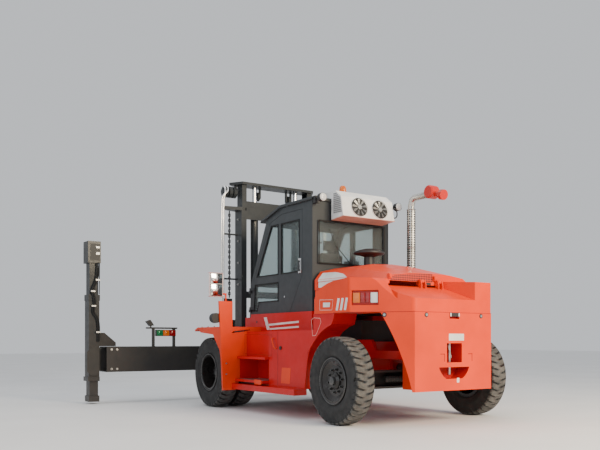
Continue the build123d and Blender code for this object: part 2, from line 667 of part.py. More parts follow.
def cab_glass():
    """The panes in the cab's front and rear openings."""
    half = CAB_HALF_WIDTH - 110 - SEAT_GAP
    rear_middle = CAB_REAR_X + CAB_WALL / 2
    rear = block((rear_middle - GLASS / 2, rear_middle + GLASS / 2), (-half, half), (2400 + SEAT_GAP, REAR_WINDOW_TOP_Z - SEAT_GAP))
    low_middle = CAB_NOSE_X - 32
    low = block((low_middle - GLASS / 2, low_middle + GLASS / 2), (-half, half), (1750 + SEAT_GAP, 2130 - SEAT_GAP))
    # The windscreen leans with the A-pillar.
    foot = Vector(CAB_NOSE_X - 60, 0, 2200)
    head = Vector(-860, 0, CAB_ROOF_Z)
    slope = (head.X - foot.X) / (head.Z - foot.Z)
    inset = CAB_WALL / 2
    def at(z):
        return foot.X + slope * (z - foot.Z) - inset
    top = SCREEN_TOP_Z - SEAT_GAP
    screen = side_plate([(at(2250.5), 2250.5), (at(top), top), (at(top) - GLASS, top),
                         (at(2250.5) - GLASS, 2250.5)], -half, half)
    return group(rear, low, screen)


def door_front_x(z):
    """X of the door's sloping front edge at a height."""
    low, high = DOOR_OUTLINE[6], DOOR_OUTLINE[5]
    return low[0] + (high[0] - low[0]) * (z - low[1]) / (high[1] - low[1])


DOOR_FRAME = 90
UPPER_SILL_Z = 2290
UPPER_HEAD_Z = 3130
DOOR_WINDOWS = (
    ((door_front_x(UPPER_SILL_Z) - DOOR_FRAME, UPPER_SILL_Z), (-1180, UPPER_SILL_Z), (-1180, UPPER_HEAD_Z),
     (door_front_x(UPPER_HEAD_Z) - DOOR_FRAME, UPPER_HEAD_Z)),
    ((-1290, UPPER_SILL_Z), (DOOR_REAR_X + DOOR_FRAME, UPPER_SILL_Z), (DOOR_REAR_X + DOOR_FRAME, UPPER_HEAD_Z),
     (-1290, UPPER_HEAD_Z)),
    ((-315, 1690), (-430, 1690), (-500, 1840), (-1180, 1840), (-1180, 2150), (-365, 2150)),
)


def door():
    """The left door with its three window openings and hinge knuckles."""
    outside = CAB_HALF_WIDTH
    panel = side_plate(DOOR_OUTLINE, outside - DOOR_THICKNESS, outside)
    for points in DOOR_WINDOWS:
        panel = panel - side_plate(points, outside - 60, outside + 20)
    x, out = DOOR_REAR_X + 60, outside + 32
    handle = rod((x, out, 2290), (x, out, 2470), 11)
    for z in (2310, 2450):
        handle = handle + rod((x, outside - 5, z), (x, out, z), 11)
    return fused(panel, handle, *door_eyes())


def door_glass():
    panes = []
    middle = CAB_HALF_WIDTH - DOOR_THICKNESS / 2
    for points in DOOR_WINDOWS:
        panes.append(shrunk(points, SEAT_GAP, middle - GLASS / 2, middle + GLASS / 2))
    return group(*panes)


def door_hinges():
    """The hinge brackets on the cab's front pillar, each with an upright pin."""
    brackets = []
    for z in DOOR_HINGE_HEIGHTS:
        plate = block((DOOR_PIN_X + 4, DOOR_PIN_X + 34), (CAB_HALF_WIDTH - 1, DOOR_PIN_Y + 14), (z - 50, z))
        nose = rod((DOOR_PIN_X, DOOR_PIN_Y, z - 50), (DOOR_PIN_X, DOOR_PIN_Y, z), DOOR_PIN_RADIUS + 8)
        pin = shaft((DOOR_PIN_X, DOOR_PIN_Y, z - 1), (DOOR_PIN_X, DOOR_PIN_Y, z + 45), DOOR_PIN_RADIUS)
        brackets.append(fused(plate, nose, pin))
    return brackets


def door_eyes():
    """The door's hinge eyes, which sit on the brackets' pins."""
    eyes = []
    for z in DOOR_HINGE_HEIGHTS:
        low, high = z + SEAT_GAP, z + 44
        eye = rod((DOOR_PIN_X, DOOR_PIN_Y, low), (DOOR_PIN_X, DOOR_PIN_Y, high), DOOR_PIN_RADIUS + 8)
        leaf = plan_plate([(DOOR_PIN_X + back, CAB_HALF_WIDTH + out) for back, out in (
            (0, 11), (-42, 11), (-50, -1), (-105, -1), (-105, 10), (-42, 26), (-6, 43))], low, high)
        hole = shaft((DOOR_PIN_X, DOOR_PIN_Y, low - 1), (DOOR_PIN_X, DOOR_PIN_Y, high + 1), DOOR_PIN_RADIUS + SEAT_GAP)
        eyes.append(eye + leaf - hole)
    return eyes


def seat():
    """The operator's seat: cushion, back, armrest and base."""
    base = block((-1560, -1120), (-230, 230), (CAB_FLOOR_Z + CAB_WALL + SEAT_GAP, 1900))
    cushion = rounded(block((-1580, -1050), (-260, 260), (1899, 2040)), 60)
    back = side_plate([(-1590, 2000), (-1450, 2000), (-1540, 2720), (-1680, 2720)], -240, 240)
    head = side_plate([(-1560, 2719), (-1660, 2719), (-1675, 2890), (-1575, 2890)], -140, 140)
    return fused(base, cushion, back, head)


WHEEL_CENTRE = Vector(-712, 0, 2374)
COLUMN_LEAN = Vector(-0.66, 0, 0.75).normalized()
BOSS_HALF = 15


def console():
    """The dashboard and steering column in front of the seat."""
    tower = side_plate([(-560, CAB_FLOOR_Z + CAB_WALL + SEAT_GAP), (-330, CAB_FLOOR_Z + CAB_WALL + SEAT_GAP),
                        (-330, 1850), (-480, 2280), (-620, 2230), (-500, 1850)], -260, 260)
    foot, top = WHEEL_CENTRE - COLUMN_LEAN * 220, WHEEL_CENTRE - COLUMN_LEAN * (BOSS_HALF + SEAT_GAP)
    return tower + rod(foot, top, 30)


def steering_wheel():
    """The wheel's rim, boss and three spokes, made flat and then tilted onto the column."""
    rim_radius = 190
    half = WHEEL_GRIP / 2
    grip = turned([(-half, rim_radius - half / 2), (-half, rim_radius + half / 2), (0, rim_radius + half),
                   (half, rim_radius + half / 2), (half, rim_radius - half / 2), (0, rim_radius - half)], 0, 0, 24)
    boss = turned([(-BOSS_HALF, 0), (BOSS_HALF, 0), (BOSS_HALF, 40), (-BOSS_HALF, 40)], 0, 0, 16)
    spokes = []
    for angle in (90, 210, 330):
        tip = (rim_radius * math.sin(math.radians(angle)), 0, rim_radius * math.cos(math.radians(angle)))
        spokes.append(rod((0, 0, 0), tip, 9, 8))
    wheel = fused(grip, boss, *spokes)
    column = Plane(origin=WHEEL_CENTRE, x_dir=(0, 1, 0), z_dir=COLUMN_LEAN)
    return column.location * Rot(90, 0, 0) * wheel


def air_conditioner():
    """The condenser box on the cab's rear edge, with its two fans."""
    roof_top = CAB_ROOF_Z + 45 + SEAT_GAP
    cab_back = CAB_REAR_X - 30 - SEAT_GAP
    box = side_plate([(-2050, roof_top), (cab_back, roof_top), (cab_back, 3110), (-2640, 3138), (-2575, 3450), (-2420, 3560),
                      (-2050, 3560)], -600, 420)
    fans = []
    lean = Vector(-(3450 - 3138), 0, 65).normalized()
    for y in (-314, 95):
        start = Vector(-2607, y, 3296) - lean * 20
        fans.append(rod(start, start + lean * 34, 155, 20))
    return fused(box, *fans)


def exhaust():
    """The perforated guard pipe, elbow and flared end."""
    x = EXHAUST_X
    y = -HOOD_HALF_WIDTH - 90
    foot = SILL_BOTTOM_Z
    guard = rod((x, y, foot), (x, y, 3330), EXHAUST_GUARD_RADIUS)
    pipe = []
    # Columns: distance back from the pipe's axis, height
    route = ((0, 3320), (0, 3400), (-28, 3478), (-95, 3520), (-430, 3520))
    for (back0, z0), (back1, z1) in zip(route, route[1:]):
        start, end = Vector(x + back0, y, z0), Vector(x + back1, y, z1)
        over = (end - start).normalized() * 12
        pipe.append(rod(start - over, end + over, EXHAUST_PIPE_RADIUS))
    # The cap: a fat drum on the pipe, then a flared end.
    drum = turned([(y - 88, 0), (y + 88, 0), (y + 88, 92), (y + 70, 108), (y - 70, 108), (y - 88, 92)], x - 515, 3545, 16)
    neck = rod((x - 500, y, 3520), (x - 760, y, 3470), 38, 12)
    flare = rod((x - 735, y, 3474), (x - 810, y, 3460), 82)
    return fused(guard, *pipe, drum, neck, flare)


def sills():
    """The painted floor structure under the cab, with its rear skirts."""
    top = CAB_FLOOR_Z - SEAT_GAP
    sill = side_plate([(CAB_NOSE_X + 10, SILL_BOTTOM_Z), (CAB_NOSE_X + 10, top), (BODY_FRONT_X + SEAT_GAP, top),
                       (BODY_FRONT_X + SEAT_GAP, SILL_BOTTOM_Z)], RAIL_INSIDE + 60, SILL_HALF_WIDTH)
    floor = block((BODY_FRONT_X + SEAT_GAP, CAB_NOSE_X + 10), (-SILL_HALF_WIDTH, SILL_HALF_WIDTH), (1490, top))
    well = block((-3000, -1700), (-340, 340), (1400, 1600))
    legs = []
    for x in (-2300, -1000):
        legs.append(block((x, x + 60), (RAIL_INSIDE, RAIL_INSIDE + RAIL_THICKNESS), (RAIL_TOP_Z + SEAT_GAP, 1491)))
    tilt_room = block((-1300, 0), (400, SKIRT_INSIDE), (SILL_BOTTOM_Z - 1, 1489))
    skirt = block((BODY_FRONT_X + SEAT_GAP, CAB_NOSE_X + 10), (CAB_HALF_WIDTH + SEAT_GAP, SILL_HALF_WIDTH), (top - 1, SKIRT_TOP_Z))
    hinge_room = block((-350, -120), (CAB_HALF_WIDTH, SILL_HALF_WIDTH + 1), (top, SKIRT_TOP_Z + 1))
    deck = fused(floor, sill - tilt_room, skirt - hinge_room, *legs)
    return fused(deck, mirrored(deck)) - well


def side_tank(name):
    """One side box: tank body, arch edge and the recess for the steps."""
    top = SILL_BOTTOM_Z - SEAT_GAP
    seam = SEAM_Z - SEAT_GAP
    body = side_plate([
        (GUARD_REAR_X - 40, TANK_BOTTOM_Z + 460), (GUARD_REAR_X - 40, top), (WING_FRONT_X, top),
        (WING_FRONT_X, seam), (-3587, seam), (-3528, 1400), (-3400, 1368), (-3235, 1300), (-3060, 1170), (-2880, 1000), (-2790, TANK_BOTTOM_Z), (-1700, TANK_BOTTOM_Z), (-1700, TANK_BOTTOM_Z + 460),
    ], TANK_INSIDE, TANK_OUTSIDE)
    recess = block((-1700, 0), (1120, 1400), (0, 2000))
    return body - recess


def steps():
    """Treads and the low bar that runs from the mudguard to the arch."""
    treads = []
    tread_top = TANK_BOTTOM_Z + 460 - SEAT_GAP
    upper = block((-1700 + SEAT_GAP, GUARD_REAR_X - 42), (900, 1300), (tread_top - 40, tread_top))
    lower = block((-1700 + SEAT_GAP, GUARD_REAR_X - 42), (899, 1340), (480, 520))
    back = block((-1700 + SEAT_GAP, GUARD_REAR_X - 42), (880, 900), (481, tread_top))
    bar = block((-2780, GUARD_REAR_X - 42), (1180, STEP_OUTSIDE), (350, TANK_BOTTOM_Z - SEAT_GAP))
    link = block((-1500, -1460), (1100, 1300), (TANK_BOTTOM_Z - 2, 481))
    lower = fused(lower, back, upper, bar, link)
    return group(lower, mirrored(lower))


def guard():
    """A mudguard: top flange, arched skirt and the wide plate behind the twin wheels."""
    plate = end_plate([
        (GUARD_OUTSIDE, 330), (1330, 330), (1250, 500), (1250, 880), (GUARD_INSIDE, 880), (GUARD_INSIDE, GUARD_TOP_Z),
        (COLUMN_INSIDE, GUARD_TOP_Z), (COLUMN_INSIDE, COLUMN_TOP_Z), (GUARD_OUTSIDE + 70, COLUMN_TOP_Z)],
        GUARD_REAR_X - GUARD_PLATE, GUARD_REAR_X)
    slot = outline_solid([
        (GUARD_REAR_X - GUARD_PLATE - 1, y, z) for y, z in ((1410, 1290), (1050, 1335), (1050, 1365), (1360, 1325))],
        (GUARD_PLATE + 2, 0, 0))
    plate = plate - slot
    top = side_plate([
        (GUARD_REAR_X - 1, GUARD_TOP_Z - 60), (GUARD_REAR_X - 1, GUARD_TOP_Z), (300, GUARD_TOP_Z),
        (420, GUARD_TOP_Z - 40), (420, GUARD_TOP_Z - 70), (290, GUARD_TOP_Z - 32)], GUARD_INSIDE, GUARD_OUTSIDE)
    skirt = side_plate([
        (GUARD_REAR_X - 1, 700), (GUARD_REAR_X - 1, GUARD_TOP_Z - 20), (260, GUARD_TOP_Z - 20),
        (180, GUARD_TOP_Z - 90), (-330, GUARD_TOP_Z - 130), (-590, 1010)], GUARD_OUTSIDE - 60, GUARD_OUTSIDE)
    skirt = skirt - turned([(GUARD_OUTSIDE - 90, 0), (GUARD_OUTSIDE + 10, 0), (GUARD_OUTSIDE + 10, TYRE_RADIUS + 40),
                            (GUARD_OUTSIDE - 90, TYRE_RADIUS + 40)], 0, AXLE_Z)
    return fused(plate, top, skirt)


def mirror_pair():
    """A mirror on a bent bracket above each mudguard."""
    x = GUARD_REAR_X - GUARD_PLATE / 2
    stalk = rod((x, 1500, COLUMN_TOP_Z + SEAT_GAP), (x, 1500, 1960), 14, 8) + rod((x, 1490, 1950), (x, 1600, 1950), 14, 8)
    head = block((x - 20, x + 40), (1565, 1800), (1900, 2300))
    one = stalk + head
    return group(one, mirrored(one))


def lamps():
    """Headlamps on the mudguards, work lamps behind the cab roof."""
    head = rod((GUARD_REAR_X + SEAT_GAP, HEADLAMP_Y, HEADLAMP_Z), (GUARD_REAR_X + 110, HEADLAMP_Y, HEADLAMP_Z), 85)
    rear_x = CAB_REAR_X - 30 - SEAT_GAP
    foot = block((rear_x - 70, rear_x), (680, 770), (CAB_ROOF_Z - 60, CAB_ROOF_Z + 50))
    arm = rod((rear_x - 60, 735, 3400), (-2500, 750, 3400), 18, 8)
    bowl = rod((-2490, 750, 3400), (-2570, 750, 3400), 66)
    half = [head, fused(foot, arm, bowl)]
    return group(*half, *[mirrored(item) for item in half])


def channel(half_width, rear_x, depth, flange, wall, z_low, z_high):
    """A C-shaped mast channel that opens towards the middle, on the left."""
    y_out = half_width
    front_x = rear_x + depth
    return plan_plate([
        (rear_x, y_out), (front_x, y_out), (front_x, y_out - flange), (front_x - wall, y_out - flange),
        (front_x - wall, y_out - wall), (rear_x + wall, y_out - wall), (rear_x + wall, y_out - flange),
        (rear_x, y_out - flange)], z_low, z_high)


OUTER_REAR_X = MAST_FRONT_X - OUTER_DEPTH
INNER_HALF_WIDTH = MAST_HALF_WIDTH - OUTER_WALL - RUNNING_GAP
INNER_REAR_X = OUTER_REAR_X + OUTER_WALL + RUNNING_GAP


def outer_mast():
    """The outer channels, cross members, axle trunnions and tilt lugs."""
    rail = channel(MAST_HALF_WIDTH, OUTER_REAR_X, OUTER_DEPTH, OUTER_FLANGE, OUTER_WALL, OUTER_BOTTOM_Z, OUTER_TOP_Z)
    trunnion = side_plate([
        (-160, AXLE_Z - 150), (OUTER_REAR_X + 1, AXLE_Z - 190), (OUTER_REAR_X + 1, AXLE_Z + 280),
        (40, AXLE_Z + 200), (-160, AXLE_Z + 140)], MAST_HALF_WIDTH - 130, MAST_HALF_WIDTH)
    trunnion = trunnion - shaft((0, 500, AXLE_Z), (0, 1000, AXLE_Z), AXLE_TUBE_RADIUS + SEAT_GAP)
    lug = side_plate([
        (OUTER_REAR_X + 1, TILT_EYE_Z - 90), (TILT_EYE_X - 40, TILT_EYE_Z - 40), (TILT_EYE_X - 40, TILT_EYE_Z + 40),
        (OUTER_REAR_X + 1, TILT_EYE_Z + 90)], MAST_HALF_WIDTH - LUG_THICKNESS, MAST_HALF_WIDTH)
    lug_in = Pos(0, -(OUTER_FLANGE - LUG_THICKNESS), 0) * lug
    pin = shaft((TILT_EYE_X, MAST_HALF_WIDTH - OUTER_FLANGE + 1, TILT_EYE_Z), (TILT_EYE_X, MAST_HALF_WIDTH - 1, TILT_EYE_Z),
              TILT_PIN_RADIUS)
    side = fused(rail, trunnion, lug, lug_in, pin)
    mast = side + mirrored(side)
    inner_line = MAST_HALF_WIDTH - OUTER_FLANGE
    for z_low, z_high in ((1950, 2070), (3400, OUTER_TOP_Z + HEAD_PLATE)):
        mast = mast + block((OUTER_REAR_X, OUTER_REAR_X + 20), (-inner_line - 1, inner_line + 1), (z_low, z_high))
    tie = block((OUTER_REAR_X + 10, MAST_FRONT_X - 10), (-MAST_HALF_WIDTH + 1, MAST_HALF_WIDTH - 1),
                (OUTER_BOTTOM_Z - 30, OUTER_BOTTOM_Z + 1))
    # The hose plates reach out from the channels' tops.
    tip = plan_plate([
        (OUTER_REAR_X + 1, MAST_HALF_WIDTH - OUTER_WALL + 1), (MAST_FRONT_X - 1, MAST_HALF_WIDTH - OUTER_WALL + 1),
        (MAST_FRONT_X - 90, HOSE_PLATE_REACH), (OUTER_REAR_X + 80, HOSE_PLATE_REACH)],
        OUTER_TOP_Z - 1, OUTER_TOP_Z + HEAD_PLATE)
    return fused(mast, tie, tip, mirrored(tip))


def lift_cylinders():
    """The lift barrels, bored for their rods."""
    top = OUTER_TOP_Z - 120
    barrel = rod((LIFT_CYLINDER_X, LIFT_CYLINDER_Y, OUTER_BOTTOM_Z + 1 + SEAT_GAP), (LIFT_CYLINDER_X, LIFT_CYLINDER_Y, top),
                 LIFT_BARREL_RADIUS)
    bore = shaft((LIFT_CYLINDER_X, LIFT_CYLINDER_Y, 560), (LIFT_CYLINDER_X, LIFT_CYLINDER_Y, top + 1),
               LIFT_ROD_RADIUS + ROD_GAP)
    clamp = block((OUTER_REAR_X + 20 + SEAT_GAP, LIFT_CYLINDER_X), (LIFT_CYLINDER_Y - 30, LIFT_CYLINDER_Y + 30),
                  (1960, 2060))
    one = fused(barrel, clamp) - bore
    return group(one, mirrored(one))


def lift_rods():
    top = INNER_TOP_Z - 1 - SEAT_GAP
    one = shaft((LIFT_CYLINDER_X, LIFT_CYLINDER_Y, 600), (LIFT_CYLINDER_X, LIFT_CYLINDER_Y, top), LIFT_ROD_RADIUS)
    return group(one, mirrored(one))


def inner_mast():
    """The inner channels with their head plate, sheave brackets and cross members."""
    rail = channel(INNER_HALF_WIDTH, INNER_REAR_X, INNER_DEPTH, INNER_FLANGE, INNER_WALL, INNER_BOTTOM_Z, INNER_TOP_Z)
    pad = block((INNER_REAR_X - RUNNING_GAP + SEAT_GAP, INNER_REAR_X + 1), (INNER_HALF_WIDTH - 70, INNER_HALF_WIDTH - 20),
                (INNER_BOTTOM_Z, INNER_BOTTOM_Z + PAD_LENGTH))
    rail = rail + pad
    mast = rail + mirrored(rail)
    head = plan_plate([
        (OUTER_REAR_X - 20, 760), (MAST_FRONT_X - 20, 900), (MAST_FRONT_X + 60, 800), (MAST_FRONT_X + 60, -800),
        (MAST_FRONT_X - 20, -900), (OUTER_REAR_X - 20, -760)], INNER_TOP_Z - 1, INNER_TOP_Z + 45)
    inner_line = INNER_HALF_WIDTH - INNER_FLANGE
    low_head = block((INNER_REAR_X, INNER_REAR_X + INNER_WALL), (-inner_line - 1, inner_line + 1),
                     (OUTER_TOP_Z + 60, OUTER_TOP_Z + 180))
    return fused(mast, head, low_head)


def lift_chains():
    """A chain down the front of each lift cylinder, round its sheave and back to the carriage."""
    x = LIFT_CYLINDER_X + 78
    y = LIFT_CYLINDER_Y - 105
    z = INNER_TOP_Z - CHAIN_SHEAVE_DROP
    sheave = rod((x, y - 25, z), (x, y + 25, z), 85)
    axle = rod((x, y - 60, z), (x, y + 60, z), 22)
    bracket = block((x - 30, x + 30), (y - 60, y - 40), (z - 30, INNER_TOP_Z - 1 - SEAT_GAP))
    other = block((x - 30, x + 30), (y + 40, y + 60), (z - 30, INNER_TOP_Z - 1 - SEAT_GAP))
    one = fused(sheave, axle, bracket, other)
    return group(one, mirrored(one))


def mast_hoses():
    """The hose sheave stack on the inner mast's left side."""
    x = MAST_FRONT_X - 60
    y = INNER_HALF_WIDTH + 56
    z = INNER_TOP_Z - HOSE_SHEAVE_DROP
    stack = rod((x, y, z), (x, HOSE_PLATE_REACH, z), 62)
    pitch = (HOSE_PLATE_REACH - y) / 3
    discs = [rod((x, y + i * pitch, z), (x, y + (i + 0.72) * pitch, z), 105) for i in range(3)]
    arm = block((x - 40, x + 40), (INNER_HALF_WIDTH + 40, y + 1), (z + 60, INNER_TOP_Z - 1 - SEAT_GAP))
    return fused(stack, *discs, arm)


def carriage():
    """The roller plates in the inner channels and the fork bars they carry."""
    half = INNER_HALF_WIDTH - INNER_FLANGE - RUNNING_GAP
    side = block((INNER_REAR_X + 70, CARRIAGE_FRONT_X - 60), (half - 36, half), (620, 1500))
    rollers = []
    for z in (720, 1400):
        roller_x = INNER_REAR_X + INNER_DEPTH / 2
        rollers.append(rod((roller_x, half - 1, z), (roller_x, INNER_HALF_WIDTH - INNER_WALL - RUNNING_GAP, z),
                           INNER_DEPTH / 2 - INNER_WALL - SEAT_GAP))
    frame = fused(side, *rollers)
    frame = frame + mirrored(frame)
    for z in (640, 1340):
        frame = frame + block((CARRIAGE_FRONT_X - 61, CARRIAGE_FRONT_X), (-900, 900), (z, z + 140))
    return frame


def spreader_frame():
    """The main beam, open at both ends for the arms, and its frame on the carriage bars."""
    beam = block((BEAM_REAR_X, SPREADER_FRONT_X), (-BEAM_HALF_LENGTH, BEAM_HALF_LENGTH), (BEAM_BOTTOM_Z, BEAM_TOP_Z))
    cavity = block((BEAM_REAR_X + BEAM_WALL, SPREADER_FRONT_X - BEAM_WALL),
                   (-BEAM_HALF_LENGTH - 1, BEAM_HALF_LENGTH + 1), (BEAM_BOTTOM_Z + BEAM_WALL, BEAM_TOP_Z - BEAM_WALL))
    beam = beam - cavity
    side = side_plate([
        (CARRIAGE_FRONT_X + SEAT_GAP, 600), (BEAM_REAR_X + 1, 600), (BEAM_REAR_X + 1, 1040), (1350, 1300),
        (CARRIAGE_FRONT_X + SEAT_GAP, 1560)], 480, 520)
    cross = block((CARRIAGE_FRONT_X + SEAT_GAP, CARRIAGE_FRONT_X + 60), (-700, 700), (600, 1560))
    window_cut = block((CARRIAGE_FRONT_X, CARRIAGE_FRONT_X + 61), (-380, 380), (800, 1330))
    frame = fused(beam, cross - window_cut, side, mirrored(side))
    floor = BEAM_BOTTOM_Z + BEAM_WALL
    for side in (1, -1):
        x_low, x_high = arm_limits(side)
        y = (BEAM_HALF_LENGTH - PAD_LENGTH, BEAM_HALF_LENGTH)
        if side < 0:
            y = (-y[1], -y[0])
        frame = frame + block((x_low + 20, x_high - 20), y, (floor - 1, floor + RUNNING_GAP - SEAT_GAP))
    return frame


def arm_limits(side):
    """Rear and front X of an arm: the left one fills the beam's front half."""
    width = (BEAM_DEPTH - 2 * BEAM_WALL) / 2 - RUNNING_GAP * 1.5
    if side > 0:
        x_high = SPREADER_FRONT_X - BEAM_WALL - RUNNING_GAP
        return x_high - width, x_high
    x_low = BEAM_REAR_X + BEAM_WALL + RUNNING_GAP
    return x_low, x_low + width


def arm(side):
    """A telescopic arm with the post's foot plate; the left one fills the beam's front half."""
    x = arm_limits(side)
    z = (BEAM_BOTTOM_Z + BEAM_WALL + RUNNING_GAP, BEAM_TOP_Z - BEAM_WALL - RUNNING_GAP)
    end_y = POST_CENTRE - POST_WIDTH / 2 - SEAT_GAP
    box = block(x, (end_y - ARM_LENGTH, end_y), z)
    hollow = block((x[0] + ARM_WALL, x[1] - ARM_WALL), (end_y - ARM_LENGTH - 1, end_y - 20),
                   (z[0] + ARM_WALL, z[1] - ARM_WALL))
    return box - hollow if side > 0 else mirrored(box - hollow)


def post():
    """An end post: sleeve, upper column with its head box, lower leg and foot."""
    x = (SPREADER_FRONT_X - POST_DEPTH - 40, SPREADER_FRONT_X - 40)
    y = (POST_CENTRE - POST_WIDTH / 2, POST_CENTRE + POST_WIDTH / 2)
    sleeve = block(x, y, (420, 2000))
    collar = block((x[0] - 20, x[1] + 20), (y[0], y[1] + 20), (420, 500))
    upper = block((x[0] + 20, x[1] - 20), (y[0] + 18, y[1] - 18), (1999, 2600))
    head = block((x[0] - 20, x[1] + 20), (y[0] - 20, y[1] + 20), (2590, POST_TOP_Z))
    leg = block((x[0] + 20, x[1] - 20), (y[0] + 18, y[1] - 18), (150, 421))
    foot = block((x[0], x[1]), (y[0], y[1]), (POST_FOOT_Z, 151))
    # The cheek plate round the arm's end, and the shoulder that closes the sleeve.
    plate = end_plate([
        (2840, 600), (2900, 520), (2990, 520), (3058, 600), (3058, 960), (2990, 1040), (2900, 1040), (2840, 960)],
        x[0] - 14, x[0] + 1)
    shoulder = block((x[0] - 8, x[1] + 8), (y[0] - 8, y[1] + 8), (1900, 2010))
    over_beam = BEAM_TOP_Z + RUNNING_GAP
    gusset = end_plate([(y[0] - 320, over_beam), (y[0] + 1, over_beam), (y[0] + 1, 1310), (y[0] - 110, 1310),
                        (y[0] - 320, 1130)], x[0] + 60, x[0] + 80)
    return fused(sleeve, collar, upper, head, leg, foot, plate, shoulder, gusset)


def spreader_lamps():
    """The lamp unit on the beam's left half: two posts, a top bar, the lens box and a camera."""
    x = BEAM_REAR_X + 40
    parts = [block((x, x + 50), (y - 22, y + 22), (BEAM_TOP_Z + SEAT_GAP, 1400)) for y in LAMP_POSTS]
    parts.append(block((x - 10, x + 70), (1370, 1970), (1390, 1420)))
    parts.append(block((x - 16, x + 60), (1405, 1790), (1250, 1372)))
    parts.append(rod((x + 20, 1890, 1419), (x + 20, 1890, 1450), 14, 8))
    parts.append(end_plate([(1840, 1455), (1920, 1440), (1990, 1530), (1910, 1560)], x - 30, x + 60))
    return fused(*parts)


def tail_lamps():
    return group(lamp_pocket(1, 6), lamp_pocket(-1, 6))


TILT_LINE = Vector(TILT_EYE_X - TILT_TAIL_X, 0, TILT_EYE_Z - TILT_TAIL_Z)


def tilt_point(distance, y=TILT_CYLINDER_Y):
    along = TILT_LINE.normalized() * distance
    return (TILT_TAIL_X + along.X, y, TILT_TAIL_Z + along.Z)


def tilt_barrel():
    """The barrel with its tail eye round the anchor pin, bored for the rod."""
    body = rod(tilt_point(90), tilt_point(TILT_BARREL_LENGTH), TILT_BARREL_RADIUS)
    shank = rod(tilt_point(30), tilt_point(91), 24)
    eye = rod((TILT_TAIL_X, TILT_CYLINDER_Y - 32, TILT_TAIL_Z), (TILT_TAIL_X, TILT_CYLINDER_Y + 32, TILT_TAIL_Z), 42)
    hole = shaft((TILT_TAIL_X, TILT_CYLINDER_Y - 40, TILT_TAIL_Z), (TILT_TAIL_X, TILT_CYLINDER_Y + 40, TILT_TAIL_Z),
               25 + SEAT_GAP)
    bore = shaft(tilt_point(200), tilt_point(TILT_BARREL_LENGTH + 1), TILT_ROD_RADIUS + ROD_GAP)
    return fused(body, shank, eye) - hole - bore


def tilt_rod():
    """The rod with its eye between the mast's lugs."""
    reach = TILT_LINE.length
    body = shaft(tilt_point(480), tilt_point(reach - 85), TILT_ROD_RADIUS)
    neck = rod(tilt_point(reach - 86), tilt_point(reach - 20), 24)
    eye = rod((TILT_EYE_X, TILT_CYLINDER_Y - 24, TILT_EYE_Z), (TILT_EYE_X, TILT_CYLINDER_Y + 24, TILT_EYE_Z), 44)
    hole = shaft((TILT_EYE_X, TILT_CYLINDER_Y - 30, TILT_EYE_Z), (TILT_EYE_X, TILT_CYLINDER_Y + 30, TILT_EYE_Z),
               TILT_PIN_RADIUS + TILT_DRIFT)
    return fused(body, neck, eye) - hole


def main():
    os.makedirs("parts", exist_ok=True)
    front_tyres, front_rims = front_wheel()
    rear_tyre, rear_rim = rear_wheel()
    left = {
        "front_tyres": front_tyres, "front_rims": front_rims, "rear_tyre": rear_tyre, "rear_rim": rear_rim,
        "knuckle": knuckle(), "door": door(), "door_glass": door_glass(),
        "tilt_barrel": tilt_barrel(), "tilt_rod": tilt_rod(), "post": post(),
    }
    for name, shape in left.items():
        save(f"{name}_left", shape)
        save(f"{name}_right", mirrored(shape))
    save("arm_left", arm(1))
    save("arm_right", arm(-1))
    frame = fused(chassis_frame(), tilt_anchor(), mirrored(tilt_anchor()))
    save("chassis_frame", frame)
    save("drive_axle", drive_axle())
    save("rear_axle", rear_axle())
    save("steering_cylinder", steering_cylinder())
    save("engine", engine())
    save("counterweight", counterweight())
    save("rear_body", rear_body())
    save("engine_hood", hood())
    save("cab_sill", sills())
    tank = side_tank("left")
    save("side_tank_left", tank)
    save("side_tank_right", mirrored(tank))
    save("steps", steps())
    save("mudguards", group(guard(), mirrored(guard())))
    hinges = door_hinges()
    save("cab_shell", fused(cab_shell(), *hinges, *[mirrored(item) for item in hinges]))
    save("cab_glass", cab_glass())
    save("seat", seat())
    save("console", console())
    save("steering_wheel", steering_wheel())
    save("air_conditioner", air_conditioner())
    save("exhaust", exhaust())
    save("mirrors", mirror_pair())
    save("lamps", lamps())
    save("tail_lamps", tail_lamps())
    save("mast_outer", outer_mast())
    save("lift_cylinders", lift_cylinders())
    save("mast_inner", inner_mast())
    save("lift_rods", lift_rods())
    save("lift_chains", lift_chains())
    save("hose_sheaves", mast_hoses())
    save("carriage", carriage())
    save("spreader_frame", spreader_frame())
    save("spreader_lamps", spreader_lamps())


main()
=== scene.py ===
import math
import bpy
import bmesh
from mathutils import Matrix, Vector


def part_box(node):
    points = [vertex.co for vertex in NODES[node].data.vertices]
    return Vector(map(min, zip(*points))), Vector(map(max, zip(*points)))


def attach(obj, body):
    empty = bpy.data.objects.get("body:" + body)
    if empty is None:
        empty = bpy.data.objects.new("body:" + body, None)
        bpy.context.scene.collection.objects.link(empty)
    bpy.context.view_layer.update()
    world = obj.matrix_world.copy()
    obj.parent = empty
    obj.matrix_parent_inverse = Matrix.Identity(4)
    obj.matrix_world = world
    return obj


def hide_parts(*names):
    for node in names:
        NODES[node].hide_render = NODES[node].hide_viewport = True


bl_info = {
    "name": "Empty Container Handler",
    "version": (1, 0, 0),
    "blender": (4, 5, 0),
    "location": "3D View > Sidebar > Handler",
    "description": "Dresses the packed container handler with its paint, tyres, trim, lamps and studio",
    "category": "Object",
}

